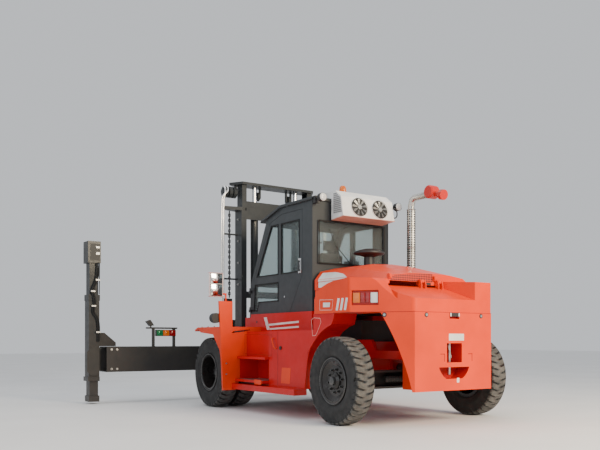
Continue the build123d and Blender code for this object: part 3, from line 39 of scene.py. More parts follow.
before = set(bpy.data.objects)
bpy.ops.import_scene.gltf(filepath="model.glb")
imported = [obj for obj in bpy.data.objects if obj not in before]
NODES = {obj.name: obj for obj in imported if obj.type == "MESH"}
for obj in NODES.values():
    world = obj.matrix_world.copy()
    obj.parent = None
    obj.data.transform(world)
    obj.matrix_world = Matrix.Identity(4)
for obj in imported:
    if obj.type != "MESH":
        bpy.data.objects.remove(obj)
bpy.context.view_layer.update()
# The front axle's place along the machine; the drawing's lengths are measured from it.
AXLE_X = sum(v[0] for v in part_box("front_rims_left")) / 2
AXLE_Z = sum(v[2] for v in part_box("front_rims_left")) / 2
REAR_X = sum(v[0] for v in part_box("rear_rim_left")) / 2

SIDES = (("left", 1), ("right", -1))
SIGNS = (1, -1)
BACK, UP = (-1, 0, 0), (0, 0, 1)


# Places

def at(x, y, z):
    """A place given from the front axle, in the row's frame."""
    return Vector((x + AXLE_X, y, z))


def places(*points):
    return [at(*point) for point in points]


def side_face(y, points):
    """Places on a plane along the machine, from (x, z) pairs."""
    return [at(x, y, z) for x, z in points]


def cross_face(x, points):
    """Places on a plane across the machine, from (y, z) pairs."""
    return [at(x, y, z) for y, z in points]


def rectangle(x, low_y, high_y, low_z, high_z):
    return cross_face(x, ((low_y, low_z), (high_y, low_z), (high_y, high_z), (low_y, high_z)))


def swap(point, sign):
    """A place or way on the left side, or its twin on the right."""
    return Vector((point[0], point[1] * sign, point[2]))


def mirrored(sign, low, high):
    """A span over Y on the left side, or its twin on the right, low end first."""
    return (low, high) if sign > 0 else (-high, -low)


# Materials

MATERIALS = {}
DUST = (0.3, 0.2, 0.14)
# Near-black in perforation holes: painted shade inside them.
HOLE_SHADE = (0.012, 0.012, 0.012)
GUARD_PITCH = 0.0382


def set_inputs(tree, node, values):
    """Links a value that comes from a node, and puts a constant on the input's own socket."""
    for key, value in values.items():
        socket = node.inputs[key]
        if isinstance(value, bpy.types.NodeSocket):
            tree.links.new(value, socket)
        else:
            socket.default_value = (*value, 1.0) if isinstance(value, tuple) else value


def add_node(tree, kind, values):
    node = tree.nodes.new(kind)
    set_inputs(tree, node, values)
    return node


def new_material(name):
    """Keeps a new material under its name; gives its tree, its shader and the object's coordinates."""
    material = MATERIALS[name] = bpy.data.materials.new(name)
    material.use_nodes = True
    tree = material.node_tree
    tree.nodes.clear()
    shader = tree.nodes.new("ShaderNodeBsdfPrincipled")
    add_node(tree, "ShaderNodeOutputMaterial", {"Surface": shader.outputs["BSDF"]})
    return tree, shader, tree.nodes.new("ShaderNodeTexCoord").outputs["Object"]


def noise(tree, where, scale, detail=4.0, rough=0.5):
    return add_node(tree, "ShaderNodeTexNoise", {"Scale": scale, "Detail": detail, "Roughness": rough,
                                                 "Vector": where}).outputs["Fac"]


def ramp(tree, value, *stops):
    """(place, colour or grey) stops over a value from 0 to 1."""
    node = add_node(tree, "ShaderNodeValToRGB", {"Fac": value})
    elements = node.color_ramp.elements
    for element, (place, colour) in zip(elements, stops):
        element.position = place
        element.color = (*colour, 1.0) if isinstance(colour, tuple) else (colour, colour, colour, 1.0)
    return node.outputs["Color"]


def mix(tree, factor, first, second):
    node = tree.nodes.new("ShaderNodeMix")
    node.data_type = "RGBA"
    set_inputs(tree, node, {0: factor, 6: first, 7: second})
    return node.outputs[2]


def along_axis(tree, where, axis):
    return add_node(tree, "ShaderNodeSeparateXYZ", {0: where}).outputs[axis]


def span_mask(tree, value, zero, one):
    """0 at the first value, 1 at the second."""
    return add_node(tree, "ShaderNodeMapRange", {"From Min": zero, "From Max": one, "Value": value}).outputs["Result"]


def calculate(tree, operation, first, second=0.0):
    node = add_node(tree, "ShaderNodeMath", {0: first, 1: second})
    node.operation = operation
    return node.outputs[0]


def times(tree, first, second):
    return calculate(tree, "MULTIPLY", first, second)


def opposite(tree, mask):
    return calculate(tree, "SUBTRACT", 1.0, mask)


def bump(tree, shader, value, strength, distance=0.001):
    node = add_node(tree, "ShaderNodeBump", {"Strength": strength, "Distance": distance, "Height": value})
    set_inputs(tree, shader, {"Normal": node.outputs["Normal"]})


def shade(colour, factor):
    return tuple(min(1.0, channel * factor) for channel in colour)


def enamel(name, colour, roughness=0.36, dust_share=0.06, coat=0.1, pocket_shade=None):
    """Sprayed machine enamel: faint orange peel, uneven tone, dust low down and rubbed spots."""
    tree, shader, where = new_material(name)
    tone = ramp(tree, noise(tree, where, 1.7, 5.0), (0.3, shade(colour, 0.88)), (0.7, shade(colour, 1.08)))
    if pocket_shade:
        # The towing pocket's inside takes the darker side colour, as painted shade in the recess: everything sunk
        # behind the rear face near the middle.
        sunk = span_mask(tree, along_axis(tree, where, "X"), AXLE_X - 4.7425, AXLE_X - 4.7405)
        middle = span_mask(tree, calculate(tree, "ABSOLUTE", along_axis(tree, where, "Y")), 0.4, 0.39)
        tone = mix(tree, times(tree, sunk, middle), tone, pocket_shade)
    foot = span_mask(tree, along_axis(tree, where, "Z"), 1.9, 0.3)
    low = times(tree, foot, noise(tree, where, 6.0, 6.0, 0.65))
    dusty = mix(tree, times(tree, low, dust_share), tone, DUST)
    rubbed = ramp(tree, noise(tree, where, 38.0, 5.0, 0.7), (0.7, 0.0), (0.78, 0.35))
    sheen = ramp(tree, noise(tree, where, 9.0, 4.0), (0.3, roughness - 0.06), (0.75, roughness + 0.12))
    set_inputs(tree, shader, {"Base Color": mix(tree, rubbed, dusty, shade(colour, 0.72)), "Roughness": sheen,
                              "Specular IOR Level": 0.22, "Coat Weight": coat, "Coat Roughness": 0.12})
    bump(tree, shader, noise(tree, where, 240.0, 2.0), 0.06)


def metal(name, colour, roughness, scratch=0.1):
    tree, shader, where = new_material(name)
    tone = ramp(tree, noise(tree, where, 12.0, 5.0, 0.6), (0.3, shade(colour, 0.85)), (0.7, colour))
    grain = ramp(tree, noise(tree, where, 60.0, 4.0), (0.3, roughness * 0.8), (0.8, roughness * 1.5))
    set_inputs(tree, shader, {"Base Color": tone, "Metallic": 1.0, "Roughness": grain})
    bump(tree, shader, noise(tree, where, 160.0, 3.0), scratch)


def rubber(name, colour, dust):
    tree, shader, where = new_material(name)
    film = ramp(tree, noise(tree, where, 7.0, 8.0, 0.7), (0.38, 0.0), (0.75, 0.42))
    set_inputs(tree, shader, {"Base Color": mix(tree, film, colour, dust), "Roughness": 0.78,
                              "Specular IOR Level": 0.35})
    bump(tree, shader, noise(tree, where, 90.0, 4.0, 0.6), 0.25, 0.002)


def plastic(name, colour, roughness=0.5, grain=220.0):
    tree, shader, where = new_material(name)
    tone = ramp(tree, noise(tree, where, 4.0, 4.0), (0.3, shade(colour, 0.85)), (0.75, shade(colour, 1.15)))
    set_inputs(tree, shader, {"Base Color": tone, "Roughness": roughness})
    bump(tree, shader, noise(tree, where, grain, 2.0), 0.12)


def lens(name, colour):
    """A ribbed lamp lens, slightly lit from behind."""
    tree, shader, where = new_material(name)
    wave = add_node(tree, "ShaderNodeTexWave", {"Scale": 30.0, "Vector": where})
    wave.bands_direction = "Z"
    tone = ramp(tree, wave.outputs["Fac"], (0.0, shade(colour, 0.8)), (1.0, shade(colour, 1.1)))
    set_inputs(tree, shader, {"Base Color": tone, "Roughness": 0.14, "Coat Weight": 0.3, "Emission Color": colour,
                              "Emission Strength": 0.04})
    bump(tree, shader, wave.outputs["Fac"], 0.4, 0.002)


def pane(name):
    tree, shader, where = new_material(name)
    film = ramp(tree, noise(tree, where, 3.0, 6.0), (0.4, 0.03), (0.8, 0.16))
    set_inputs(tree, shader, {"Base Color": (0.62, 0.7, 0.7), "Roughness": film, "Transmission Weight": 0.92,
                              "IOR": 1.12})


def hole_rows(tree, across, up, pitch, hole):
    """1 in round holes on a square grid over two lengths."""
    place = add_node(tree, "ShaderNodeCombineXYZ", {"X": across, "Y": up})
    cells = tree.nodes.new("ShaderNodeTexVoronoi")
    cells.voronoi_dimensions = "2D"
    set_inputs(tree, cells, {"Scale": 1.0 / pitch, "Randomness": 0.0, "Vector": place.outputs[0]})
    return span_mask(tree, cells.outputs["Distance"], hole + 0.05, hole)


def perforated(name, colour, pitch, across):
    """A flat sheet with rows of small holes over one level axis and the height, painted near-black as shade inside
    them.
    """
    tree, shader, where = new_material(name)
    holes = hole_rows(tree, along_axis(tree, where, across), along_axis(tree, where, "Z"), pitch, 0.33)
    set_inputs(tree, shader, {"Base Color": mix(tree, holes, colour, HOLE_SHADE), "Roughness": 0.35})
    bump(tree, shader, opposite(tree, holes), 0.4, 0.002)


def pipe_guard(name, x, y, radius, top, cap_x, cap):
    """The exhaust's finish: perforated guard up to its top, bare elbow above it, painted cap behind cap_x."""
    tree, shader, where = new_material(name)
    turn = calculate(tree, "ARCTAN2", calculate(tree, "SUBTRACT", along_axis(tree, where, "Y"), y),
                     calculate(tree, "SUBTRACT", along_axis(tree, where, "X"), x))
    height = along_axis(tree, where, "Z")
    holes = times(tree, hole_rows(tree, times(tree, turn, radius), height, GUARD_PITCH, 0.31),
                  span_mask(tree, height, top, top - 0.002))
    painted = span_mask(tree, along_axis(tree, where, "X"), cap_x, cap_x - 0.004)
    heat = ramp(tree, noise(tree, where, 3.5, 5.0), (0.35, (0.42, 0.4, 0.36)), (0.7, (0.66, 0.65, 0.62)))
    # The guard's holes are painted near-black: painted shade.
    set_inputs(tree, shader, {
        "Base Color": mix(tree, painted, mix(tree, holes, heat, HOLE_SHADE), cap),
        "Metallic": times(tree, opposite(tree, painted), 0.85),
        "Roughness": ramp(tree, noise(tree, where, 40.0, 4.0), (0.3, 0.24), (0.8, 0.42)),
    })
    bump(tree, shader, opposite(tree, holes), 0.4, 0.002)


# Mesh helpers

def forms(count):
    return [bmesh.new() for _ in range(count)]


def place_object(name, data):
    obj = bpy.data.objects.new(name, data)
    bpy.context.scene.collection.objects.link(obj)
    return obj


def place_mesh(name, bm):
    """Writes a bmesh to a new object."""
    mesh = bpy.data.meshes.new(name)
    bm.to_mesh(mesh)
    bm.free()
    return place_object(name, mesh), mesh


def edges_of(verts):
    return list(dict.fromkeys(edge for vert in verts for edge in vert.link_edges))


def extrude(bm, faces):
    """Extrudes faces where they are, and gives the verts of their copies."""
    made = bmesh.ops.extrude_face_region(bm, geom=faces)["geom"]
    return [item for item in made if isinstance(item, bmesh.types.BMVert)]


def spin(bm, geom, centre, axis, steps):
    """Spins a profile once round an axis."""
    bmesh.ops.spin(bm, geom=geom, cent=centre, axis=axis, angle=2 * math.pi, steps=steps, use_merge=True,
                   use_duplicate=False)


def axis_and_side(along):
    """A unit axis, and a unit way square to it."""
    along = Vector(along).normalized()
    return along, along.orthogonal().normalized()


def soften(bm, edges, bevel, segments=2):
    bmesh.ops.bevel(bm, geom=edges, offset=bevel, offset_type="OFFSET", affect="EDGES", segments=segments,
                    profile=0.5, material=-1)


def add_box(bm, low, high, bevel=0.0, segments=2):
    """A box between two corners with rounded edges."""
    low, high = Vector(low), Vector(high)
    made = bmesh.ops.create_cube(bm, size=1.0)["verts"]
    bmesh.ops.scale(bm, vec=high - low, verts=made)
    bmesh.ops.translate(bm, vec=(low + high) / 2, verts=made)
    if bevel:
        soften(bm, edges_of(made), bevel, segments)


def add_side_box(bm, sign, x, y, z, bevel, segments=2):
    """A box from its spans along the machine, out from the middle on one side, and in height."""
    near, far = mirrored(sign, *y)
    add_box(bm, at(x[0], near, z[0]), at(x[1], far, z[1]), bevel, segments)


def add_rod(bm, start, end, radius, sides=16, tip=None):
    """A round bar, or a cone with a tip radius."""
    start, end = Vector(start), Vector(end)
    along = end - start
    turn = Vector(UP).rotation_difference(along.normalized()).to_matrix().to_4x4()
    place = Matrix.Translation((start + end) / 2) @ turn
    bmesh.ops.create_cone(bm, cap_ends=True, cap_tris=False, segments=sides, radius1=radius,
                          radius2=radius if tip is None else tip, depth=along.length, matrix=place)


def add_ring(bm, place, along, radius, wire, sides=32, section=8):
    """A round ring about an axis, spun from a small circle."""
    along, side = axis_and_side(along)
    turn = Matrix((side, along, side.cross(along))).transposed().to_4x4()
    circle = bmesh.ops.create_circle(bm, cap_ends=False, segments=section, radius=wire,
                                     matrix=Matrix.Translation(Vector(place) + side * radius) @ turn)["verts"]
    spin(bm, edges_of(circle), place, along, sides)


def add_turned(bm, place, along, outline, sides=32):
    """An (offset along the axis, radius) outline spun about an axis."""
    along, side = axis_and_side(along)
    place = Vector(place)
    verts = [bm.verts.new(place + along * step + side * radius) for step, radius in outline]
    edges = [bm.edges.new(pair) for pair in zip(verts, verts[1:])]
    spin(bm, verts + edges, place, along, sides)


def add_slab(bm, points, thickness):
    """A flat outline given thickness along a vector."""
    face = bm.faces.new([bm.verts.new(point) for point in points])
    bmesh.ops.translate(bm, vec=Vector(thickness), verts=extrude(bm, [face]))


def add_patch(bm, points, out, thick=0.0015):
    """A thin painted or stuck-on area over a flat face: its corners, then the way out of the face."""
    out = Vector(out).normalized()
    add_slab(bm, [Vector(point) + out * 0.0004 for point in points], out * thick)


def add_line(bm, points, out, width, thick=0.0012, closed=True):
    """Thin straight strips along a route over a flat face."""
    out = Vector(out).normalized()
    for first, second in zip(points, points[1:] + points[:1] if closed else points[1:]):
        along = (second - first).normalized() * width / 2
        across = along.cross(out)
        add_patch(bm, (first - along - across, second + along - across, second + along + across,
                       first - along + across), out, thick)


def add_hose(bm, points, radius, sides=10):
    """A hose through soft bends, swept ring by ring along a smoothed route."""
    route = points
    for _ in range(2):
        soft = [route[0]]
        for first, second in zip(route, route[1:]):
            soft += [first.lerp(second, 0.25), first.lerp(second, 0.75)]
        soft.append(route[-1])
        route = soft
    before = None
    side = (route[1] - route[0]).orthogonal().normalized()
    for index, place in enumerate(route):
        along = (route[min(index + 1, len(route) - 1)] - route[max(index - 1, 0)]).normalized()
        side = (side - along * side.dot(along)).normalized()
        turn = Matrix((side, along.cross(side), along)).transposed().to_4x4()
        ring = bmesh.ops.create_circle(bm, cap_ends=index in (0, len(route) - 1), segments=sides, radius=radius,
                                       matrix=Matrix.Translation(place) @ turn)["verts"]
        edges = edges_of(ring)
        if before:
            bmesh.ops.bridge_loops(bm, edges=before + edges)
        before = edges


def add_bolt(bm, place, along, size):
    """A hexagon bolt head on a washer."""
    place, along = Vector(place), Vector(along).normalized()
    add_rod(bm, place, place + along * size * 0.18, size * 0.75, 16)
    add_rod(bm, place + along * size * 0.1, place + along * size * 0.75, size * 0.5, 6)


def merge_form(bm, form):
    """Moves one bmesh's form into another."""
    temporary = bpy.data.meshes.new("form")
    form.to_mesh(temporary)
    form.free()
    bm.from_mesh(temporary)
    bpy.data.meshes.remove(temporary)


CHANNEL_DEPTH, CHANNEL_WIDTH = 0.011, 0.13


def add_cushion(bm, low, high, crown, channels=0, cuts=14):
    """An upholstered block: rounded edges, a crowned top and stitched channels across its X."""
    low, high = Vector(low), Vector(high)
    block = bmesh.new()
    bmesh.ops.create_cube(block, size=2.0)
    bmesh.ops.subdivide_edges(block, edges=block.edges, cuts=cuts, use_grid_fill=True)
    half, middle = (high - low) / 2, (high + low) / 2
    for vert in block.verts:
        u, v, w = vert.co
        edge = max(abs(u), abs(v)) ** 6
        side = 1.0 - 0.05 * abs(w) ** 4
        lift = crown * (1.0 - u * u) * (1.0 - v * v) if w > 0 else 0.0
        if channels and w > 0.0:
            phase = (u + 1.0) / 2 * channels
            lift -= CHANNEL_DEPTH * math.exp(-((phase - round(phase)) / CHANNEL_WIDTH) ** 2) * (1.0 - edge)
        thin = 1.0 - 0.16 * edge * abs(w)
        vert.co = Vector((middle.x + half.x * u * side, middle.y + half.y * v * side,
                          middle.z + half.z * w * thin + lift * max(0.0, w)))
    merge_form(bm, block)


def finish_piece(name, bm, finish, body="chassis", smooth=None, replaces=(), extra=()):
    """Writes a bmesh to an object that rides on a body."""
    bmesh.ops.recalc_face_normals(bm, faces=bm.faces)
    obj, mesh = place_mesh(name, bm)
    for item in (finish, *extra):
        mesh.materials.append(MATERIALS[item])
    if smooth is not None:
        mesh.shade_smooth()
        mesh.set_sharp_from_angle(angle=math.radians(smooth))
    if replaces:
        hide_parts(*replaces)
    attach(obj, body)
    return obj


# What a user may change

def colour_setting(name, description, default):
    return bpy.props.FloatVectorProperty(name=name, description=description, subtype="COLOR", size=3, min=0, max=1,
                                         default=default)


class PaintSettings(bpy.types.PropertyGroup):
    """Colours of the machine's enamels"""
    body: colour_setting("Body", "Orange-red of hood, weight and mudguards", (0.82, 0.046, 0.003))
    # The side colour is the body's orange-red darkened: painted shade on the parts that face sideways.
    side: colour_setting("Side panels", "Red of tanks, sill and frame", (0.56, 0.003, 0.004))
    cab: colour_setting("Cab", "Grey of cab and doors", (0.042, 0.048, 0.052))
    mast: colour_setting("Mast", "Near-black of mast and axles", (0.034, 0.038, 0.041))
    spreader: colour_setting("Spreader", "Dark grey of the spreader", (0.027, 0.029, 0.03))


class TyreSettings(bpy.types.PropertyGroup):
    """Tread of the six tyres"""
    lugs: bpy.props.IntProperty(name="Lugs", description="Lugs round each shoulder", min=20, max=60, default=36)
    depth: bpy.props.FloatProperty(name="Depth", description="Depth of the grooves between lugs",
                                   subtype="DISTANCE", unit="LENGTH", min=0.005, max=0.04, default=0.022)
    slant: bpy.props.FloatProperty(name="Slant", description="Angle that a lug leans over its half width",
                                   subtype="ANGLE", unit="ROTATION", default=math.radians(4.5))


class TrimSettings(bpy.types.PropertyGroup):
    """Small parts"""
    bolt: bpy.props.FloatProperty(name="Bolt head", description="Width of a bolt's head", subtype="DISTANCE",
                                  unit="LENGTH", min=0.01, max=0.06, default=0.028)


# Tyres and wheels

TYRE_HALF = 0.1575
# From the bead to the middle of the tread: (share of the half width, radius)
TYRE_OUTLINE = (
    (0.8, 0.306), (0.8, 0.334), (0.87, 0.345), (0.935, 0.362), (0.968, 0.392), (0.968, 0.404), (0.992, 0.41),
    (1.0, 0.432), (1.0, 0.456), (0.985, 0.464), (0.972, 0.5), (0.955, 0.546), (0.915, 0.578), (0.86, 0.598),
    (0.79, 0.6025), (0.6, 0.608), (0.42, 0.6105), (0.27, 0.611))
LUG_STEPS = 6
GROOVE_RADIUS, TREAD_RADIUS, LEAN_RADIUS = 0.549, 0.585, 0.5
RIB_SHARE, FLARE_SHARE, OPEN_SHARE = 0.27, 0.8, 0.97
LEVEL = 1e-4


def build_tyre(bm, middle_y, axle_x, tyre):
    """A tyre with a buttressed sidewall, a middle rib and staggered lugs with open shoulders."""
    outline = [(share * TYRE_HALF, radius) for share, radius in TYRE_OUTLINE]
    outline += [(-step, radius) for step, radius in reversed(outline)]
    steps = tyre.lugs * LUG_STEPS
    start = Vector((axle_x, middle_y, AXLE_Z))
    verts = [bm.verts.new(start + Vector((0, step, radius))) for step, radius in outline]
    edges = [bm.edges.new((first, second)) for first, second in zip(verts, verts[1:] + verts[:1])]
    made = set(bm.faces)
    spin(bm, verts + edges, start, (0, 1, 0), steps)
    grooves = []
    for face in bm.faces:
        if face in made:
            continue
        middle = face.calc_center_median() - start
        radius = math.hypot(middle.x, middle.z)
        share = abs(middle.y) / TYRE_HALF
        index = int((math.atan2(middle.x, middle.z) / (2 * math.pi) + 1) * steps + 1e-6)
        # The two shoulders' lugs are staggered by half a lug; a groove flares to two steps at the shoulder.
        turn = (index + (0 if middle.y > 0 else LUG_STEPS // 2)) % LUG_STEPS
        if (radius > GROOVE_RADIUS and RIB_SHARE < share < OPEN_SHARE
                and (turn == 0 or (turn == 1 and share > FLARE_SHARE))):
            grooves.append(face)
        elif radius > TREAD_RADIUS:
            face.material_index = 1
    sunk = set(extrude(bm, grooves))
    for vert in sunk:
        out = vert.co - start
        vert.co -= Vector((out.x, out.y * 1.4, out.z)).normalized() * tyre.depth
    # A groove's walls have the tread's material on one side of it, and the groove's on the other.
    for face in {face for vert in sunk for face in vert.link_faces if not sunk.issuperset(face.verts)}:
        face.material_index = 0
        place = face.calc_center_median() - start
        for other in (near for edge in face.edges if sunk.isdisjoint(edge.verts) for near in edge.link_faces):
            way = other.calc_center_median() - start
            ahead = way.z * place.x - way.x * place.z
            if other.material_index and (ahead > LEVEL or (abs(ahead) < LEVEL and way.y > place.y)):
                face.material_index = 1
    for vert in bm.verts:
        place = vert.co - start
        if abs(place.y) < TYRE_HALF * 1.01 and math.hypot(place.x, place.z) > LEAN_RADIUS:
            lean = Matrix.Rotation(tyre.slant * max(0.0, abs(place.y) / TYRE_HALF - RIB_SHARE), 3, "Y")
            vert.co = start + lean @ place


class HANDLER_OT_tyres(bpy.types.Operator):
    """Six tyres with shoulder lugs in the places of the plain ones"""
    bl_idname = "handler.tyres"
    bl_label = "Tyres"

    def execute(self, context):
        tyre = context.scene.handler_tyre
        for side, sign in SIDES:
            for plain, axle, axle_x, middles in (("front_tyres", "front", AXLE_X, (0.9775, 1.3425)),
                                                 ("rear_tyre", "rear", REAR_X, (1.254,))):
                bm = bmesh.new()
                for middle in middles:
                    build_tyre(bm, sign * middle, axle_x, tyre)
                finish_piece(f"lugged_{plain}_{side}", bm, "rubber", f"{axle}_wheel_{side}", 38,
                             replaces=(f"{plain}_{side}",), extra=("tread",))
        return {"FINISHED"}


def add_nut_ring(bm, centre, along, radius, count, size):
    """Wheel nuts on a circle, each with its stud's end."""
    along, side = axis_and_side(along)
    for i in range(count):
        out = Matrix.Rotation(2 * math.pi * (i + 0.5) / count, 3, along) @ side
        place = Vector(centre) + out * radius
        add_bolt(bm, place, along, size)
        add_rod(bm, place + along * size * 0.7, place + along * size * 1.05, size * 0.28, 10)


LOCK_RADIUS = 0.316
# Axle, place, nuts (y, radius, count, size), hub cover's y and outline, lock ring's y, valve's ends (y, z)
WHEEL_FITTINGS = (
    ("front", AXLE_X, ((1.184, 0.184, 12, 0.032), (1.35, 0.086, 8, 0.018)), 1.35,
     ((0, 0.06), (0.012, 0.056), (0.016, 0.044), (0.016, 0.001)), 1.4845, ((1.4, 0.262), (1.478, 0.272))),
    ("rear", REAR_X, ((1.344, 0.16, 10, 0.032),), 1.392,
     ((0, 0.062), (0.022, 0.058), (0.028, 0.044), (0.028, 0.001)), 1.396, ((1.33, 0.255), (1.394, 0.266))),
)


class HANDLER_OT_wheels(bpy.types.Operator):
    """Wheel nuts, hub covers, lock rings and valves"""
    bl_idname = "handler.wheels"
    bl_label = "Wheel fittings"

    def execute(self, context):
        for side, sign in SIDES:
            along = (0, sign, 0)
            for axle, x, nuts, hub_y, hub, lock_y, valve in WHEEL_FITTINGS:
                bm = bmesh.new()
                for y, radius, count, size in nuts:
                    add_nut_ring(bm, (x, sign * y, AXLE_Z), along, radius, count, size)
                add_turned(bm, (x, sign * hub_y, AXLE_Z), along, hub)
                finish_piece(f"wheel_nuts_{axle}_{side}", bm, "dark_steel", f"{axle}_wheel_{side}", 35)
                bm = bmesh.new()
                add_ring(bm, (x, sign * lock_y, AXLE_Z), along, LOCK_RADIUS, 0.009, 72)
                add_rod(bm, *((x, sign * y, AXLE_Z + up) for y, up in valve), 0.006, 10)
                finish_piece(f"lock_ring_{axle}_{side}", bm, "dark_steel", f"{axle}_wheel_{side}", 35)
        return {"FINISHED"}


# Body

# Faces that carry markings: their distance from the middle, or their place along the machine
SILL_Y, TANK_Y, WING_Y = 0.84, 1.225, 1.25
REAR_X_FACE, HOOD_X_FACE = -4.746, -4.2245
CORNER_OUT = (-0.57, 0.82, 0)
SEAM_Z = 1.5545
SILL_STRIPES = (
    ((-0.826, 1.563), (-0.925, 1.568), (-1.04, 1.347), (-0.94, 1.35)),
    ((-0.99, 1.417), (-1.99, 1.452), (-1.99, 1.484), (-0.975, 1.449)),
    ((-1.025, 1.347), (-1.99, 1.374), (-1.99, 1.403), (-1.01, 1.376)),
)
WING_FRAME = ((-3.25, 1.606), (-3.57, 1.598), (-3.595, 1.742), (-3.25, 1.752))
WING_PLATE = ((-3.34, 1.645), (-3.51, 1.64), (-3.525, 1.705), (-3.34, 1.71))
TANK_BADGE = ((-2.985, 1.47), (-3.05, 1.5), (-3.22, 1.49), (-3.245, 1.43), (-3.11, 1.245), (-3.02, 1.235))
TANK_FRAME = ((-0.87, 0.945), (-1.8, 0.93), (-1.8, 1.255), (-0.87, 1.27))
TANK_PATCH = ((-2.09, 0.5), (-2.36, 0.5), (-2.39, 0.745), (-2.12, 0.745))
HOOD_RECESS = ((-2.432, 1.994), (-2.432, 2.077), (-2.8, 2.077), (-3.046, 2.062), (-3.215, 2.034), (-3.215, 1.994))
HOOD_LEDGE = ((-2.432, 2.087), (-2.432, 2.117), (-3.215, 2.109), (-3.215, 2.08))
# (x, share of the slope's height) of the plate where it goes on over the hood's first slope
HOOD_SLOPE = ((-2.432, 0.02), (-2.432, 0.8), (-2.8, 0.74), (-3.05, 0.45), (-3.215, 0.02))
HOOD_BAND = ((-0.05, 2.008), (0.72, 2.008), (0.72, 2.028), (0.648, 2.078), (0.377, 2.112), (0.0, 2.122),
             (-0.05, 2.122))
EAR_OUTLINE = ((-0.022, 0.001), (-0.022, 0.034), (-0.017, 0.04), (0.017, 0.04), (0.022, 0.034), (0.022, 0.001))


def mark_side(sign, white, red, outline, black, orange):
    out = (0, sign, 0)
    sill, wing, tank = sign * SILL_Y, sign * WING_Y, sign * TANK_Y
    for points in SILL_STRIPES:
        add_patch(white, side_face(sill, points), out)
    for x in (-3.665, -3.765, -3.865):
        bar = ((x, 1.59), (x - 0.052, 1.586), (x - 0.1, 1.752), (x - 0.048, 1.758))
        add_patch(white, side_face(wing, bar), out)
    add_patch(white, side_face(wing, WING_PLATE), out)
    add_line(outline, side_face(wing, WING_FRAME), out, 0.007)
    add_line(outline, side_face(tank, TANK_BADGE), out, 0.006)
    add_line(red, side_face(tank, TANK_FRAME), out, 0.008)
    # A black line: painted shade in the gap.
    add_line(black, side_face(tank, ((-1.99, 0.47), (-1.99, 1.3))), out, 0.004, closed=False)
    add_patch(orange, side_face(tank, TANK_PATCH), out)
    # Black discs: painted shade of holes.
    add_rod(black, *places((-0.572, sill, 1.491), (-0.572, sill + sign * 0.0015, 1.491)), 0.022, 20)
    add_rod(black, *places((-2.086, tank, 1.05), (-2.086, tank + sign * 0.018, 1.05)), 0.03, 20)
    add_line(red, side_face(wing, ((-3.6, SEAM_Z), (-3.979, SEAM_Z))), out, 0.006, closed=False)
    add_line(red, places((-3.98, wing, SEAM_Z), (REAR_X_FACE, sign * 0.713, SEAM_Z)), swap(CORNER_OUT, sign),
             0.006, 0.002, False)


def mark_weight(white, red, black):
    """On the rear face: a blank label, a small plate, L-shaped lifting marks and the camera's recess as a black patch
    of painted shade.
    """
    add_line(red, cross_face(REAR_X_FACE, ((-0.712, SEAM_Z), (0.712, SEAM_Z))), BACK, 0.006, closed=False)
    for corners in ((-0.178, 0.104, 1.168, 1.262), (-0.09, -0.045, 0.585, 0.648)):
        add_patch(white, rectangle(REAR_X_FACE, *corners), BACK)
    for y in (0.185, -0.335):
        add_line(red, cross_face(REAR_X_FACE, ((y + 0.07, 0.982), (y, 0.982), (y, 0.885))), BACK, 0.01,
                 closed=False)
    # The camera's recess is a black patch: painted shade.
    add_patch(black, rectangle(REAR_X_FACE, -0.095, 0.08, 1.5, 1.55), BACK, 0.003)
    for y in (-0.085, 0.07):
        add_box(white, at(-4.752, y - 0.01, 1.502), at(-4.7465, y + 0.01, 1.548), 0.002)
    # A dark ring under each of the weight's bolts: painted shade of the sunk bore round it.
    for sign in SIGNS:
        for x, y, way in ((REAR_X_FACE, 0.51, BACK), (-4.4, 0.9555, CORNER_OUT)):
            start = at(x, sign * y, 1.515)
            add_rod(black, start, start + swap(way, sign) * 0.0015, 0.033, 24)


def mark_hood():
    """The blank plate in each side recess, the perforated band, its ears and a black patch of painted shade along the
    slot under it.
    """
    plate, band, slot_shade, ear = forms(4)
    for sign in SIGNS:
        add_patch(plate, side_face(sign * 0.745, HOOD_RECESS), (0, sign, 0), 0.004)
        add_patch(plate, side_face(sign * 0.754, HOOD_LEDGE), (0, sign, 0), 0.001)
        add_patch(plate, [at(x, sign * (0.754 - 0.106 * share), 2.1204 + 0.0098 * (x + 2.33) + 0.1364 * share)
                          for x, share in HOOD_SLOPE], (-0.006, sign * 0.79, 0.614), 0.001)
    add_patch(band, cross_face(HOOD_X_FACE, HOOD_BAND), BACK)
    # Black patch: painted shade of the slot under the band.
    add_patch(slot_shade, rectangle(HOOD_X_FACE, -0.02, 0.229, 1.962, 1.998), BACK)
    for y in (-0.075, 0.745):
        add_turned(ear, at(-4.236, y, 2.06), (0, 1, 0), EAR_OUTLINE, 20)
    for name, bm, finish, smooth in (("plates", plate, "white_film", None), ("band", band, "band_mesh", None),
                                     ("slot_shade", slot_shade, "black_plastic", None), ("ears", ear, "body", 40)):
        finish_piece(f"hood_{name}", bm, finish, "hood", smooth)


class HANDLER_OT_markings(bpy.types.Operator):
    """Stripes, lines and blank plates of the sides, the weight and the hood"""
    bl_idname = "handler.markings"
    bl_label = "Markings"

    def execute(self, context):
        white, red, outline, black, orange = forms(5)
        for sign in SIGNS:
            mark_side(sign, white, red, outline, black, orange)
        mark_weight(white, red, black)
        for name, bm, finish in (("white_stripes", white, "white_film"), ("blank_panels_edge", outline, "pale_line"),
                                 ("panel_lines", red, "body_dark"), ("orange_patches", orange, "body"),
                                 ("painted_shade_openings", black, "black_plastic")):
            finish_piece(name, bm, finish)
        mark_hood()
        return {"FINISHED"}


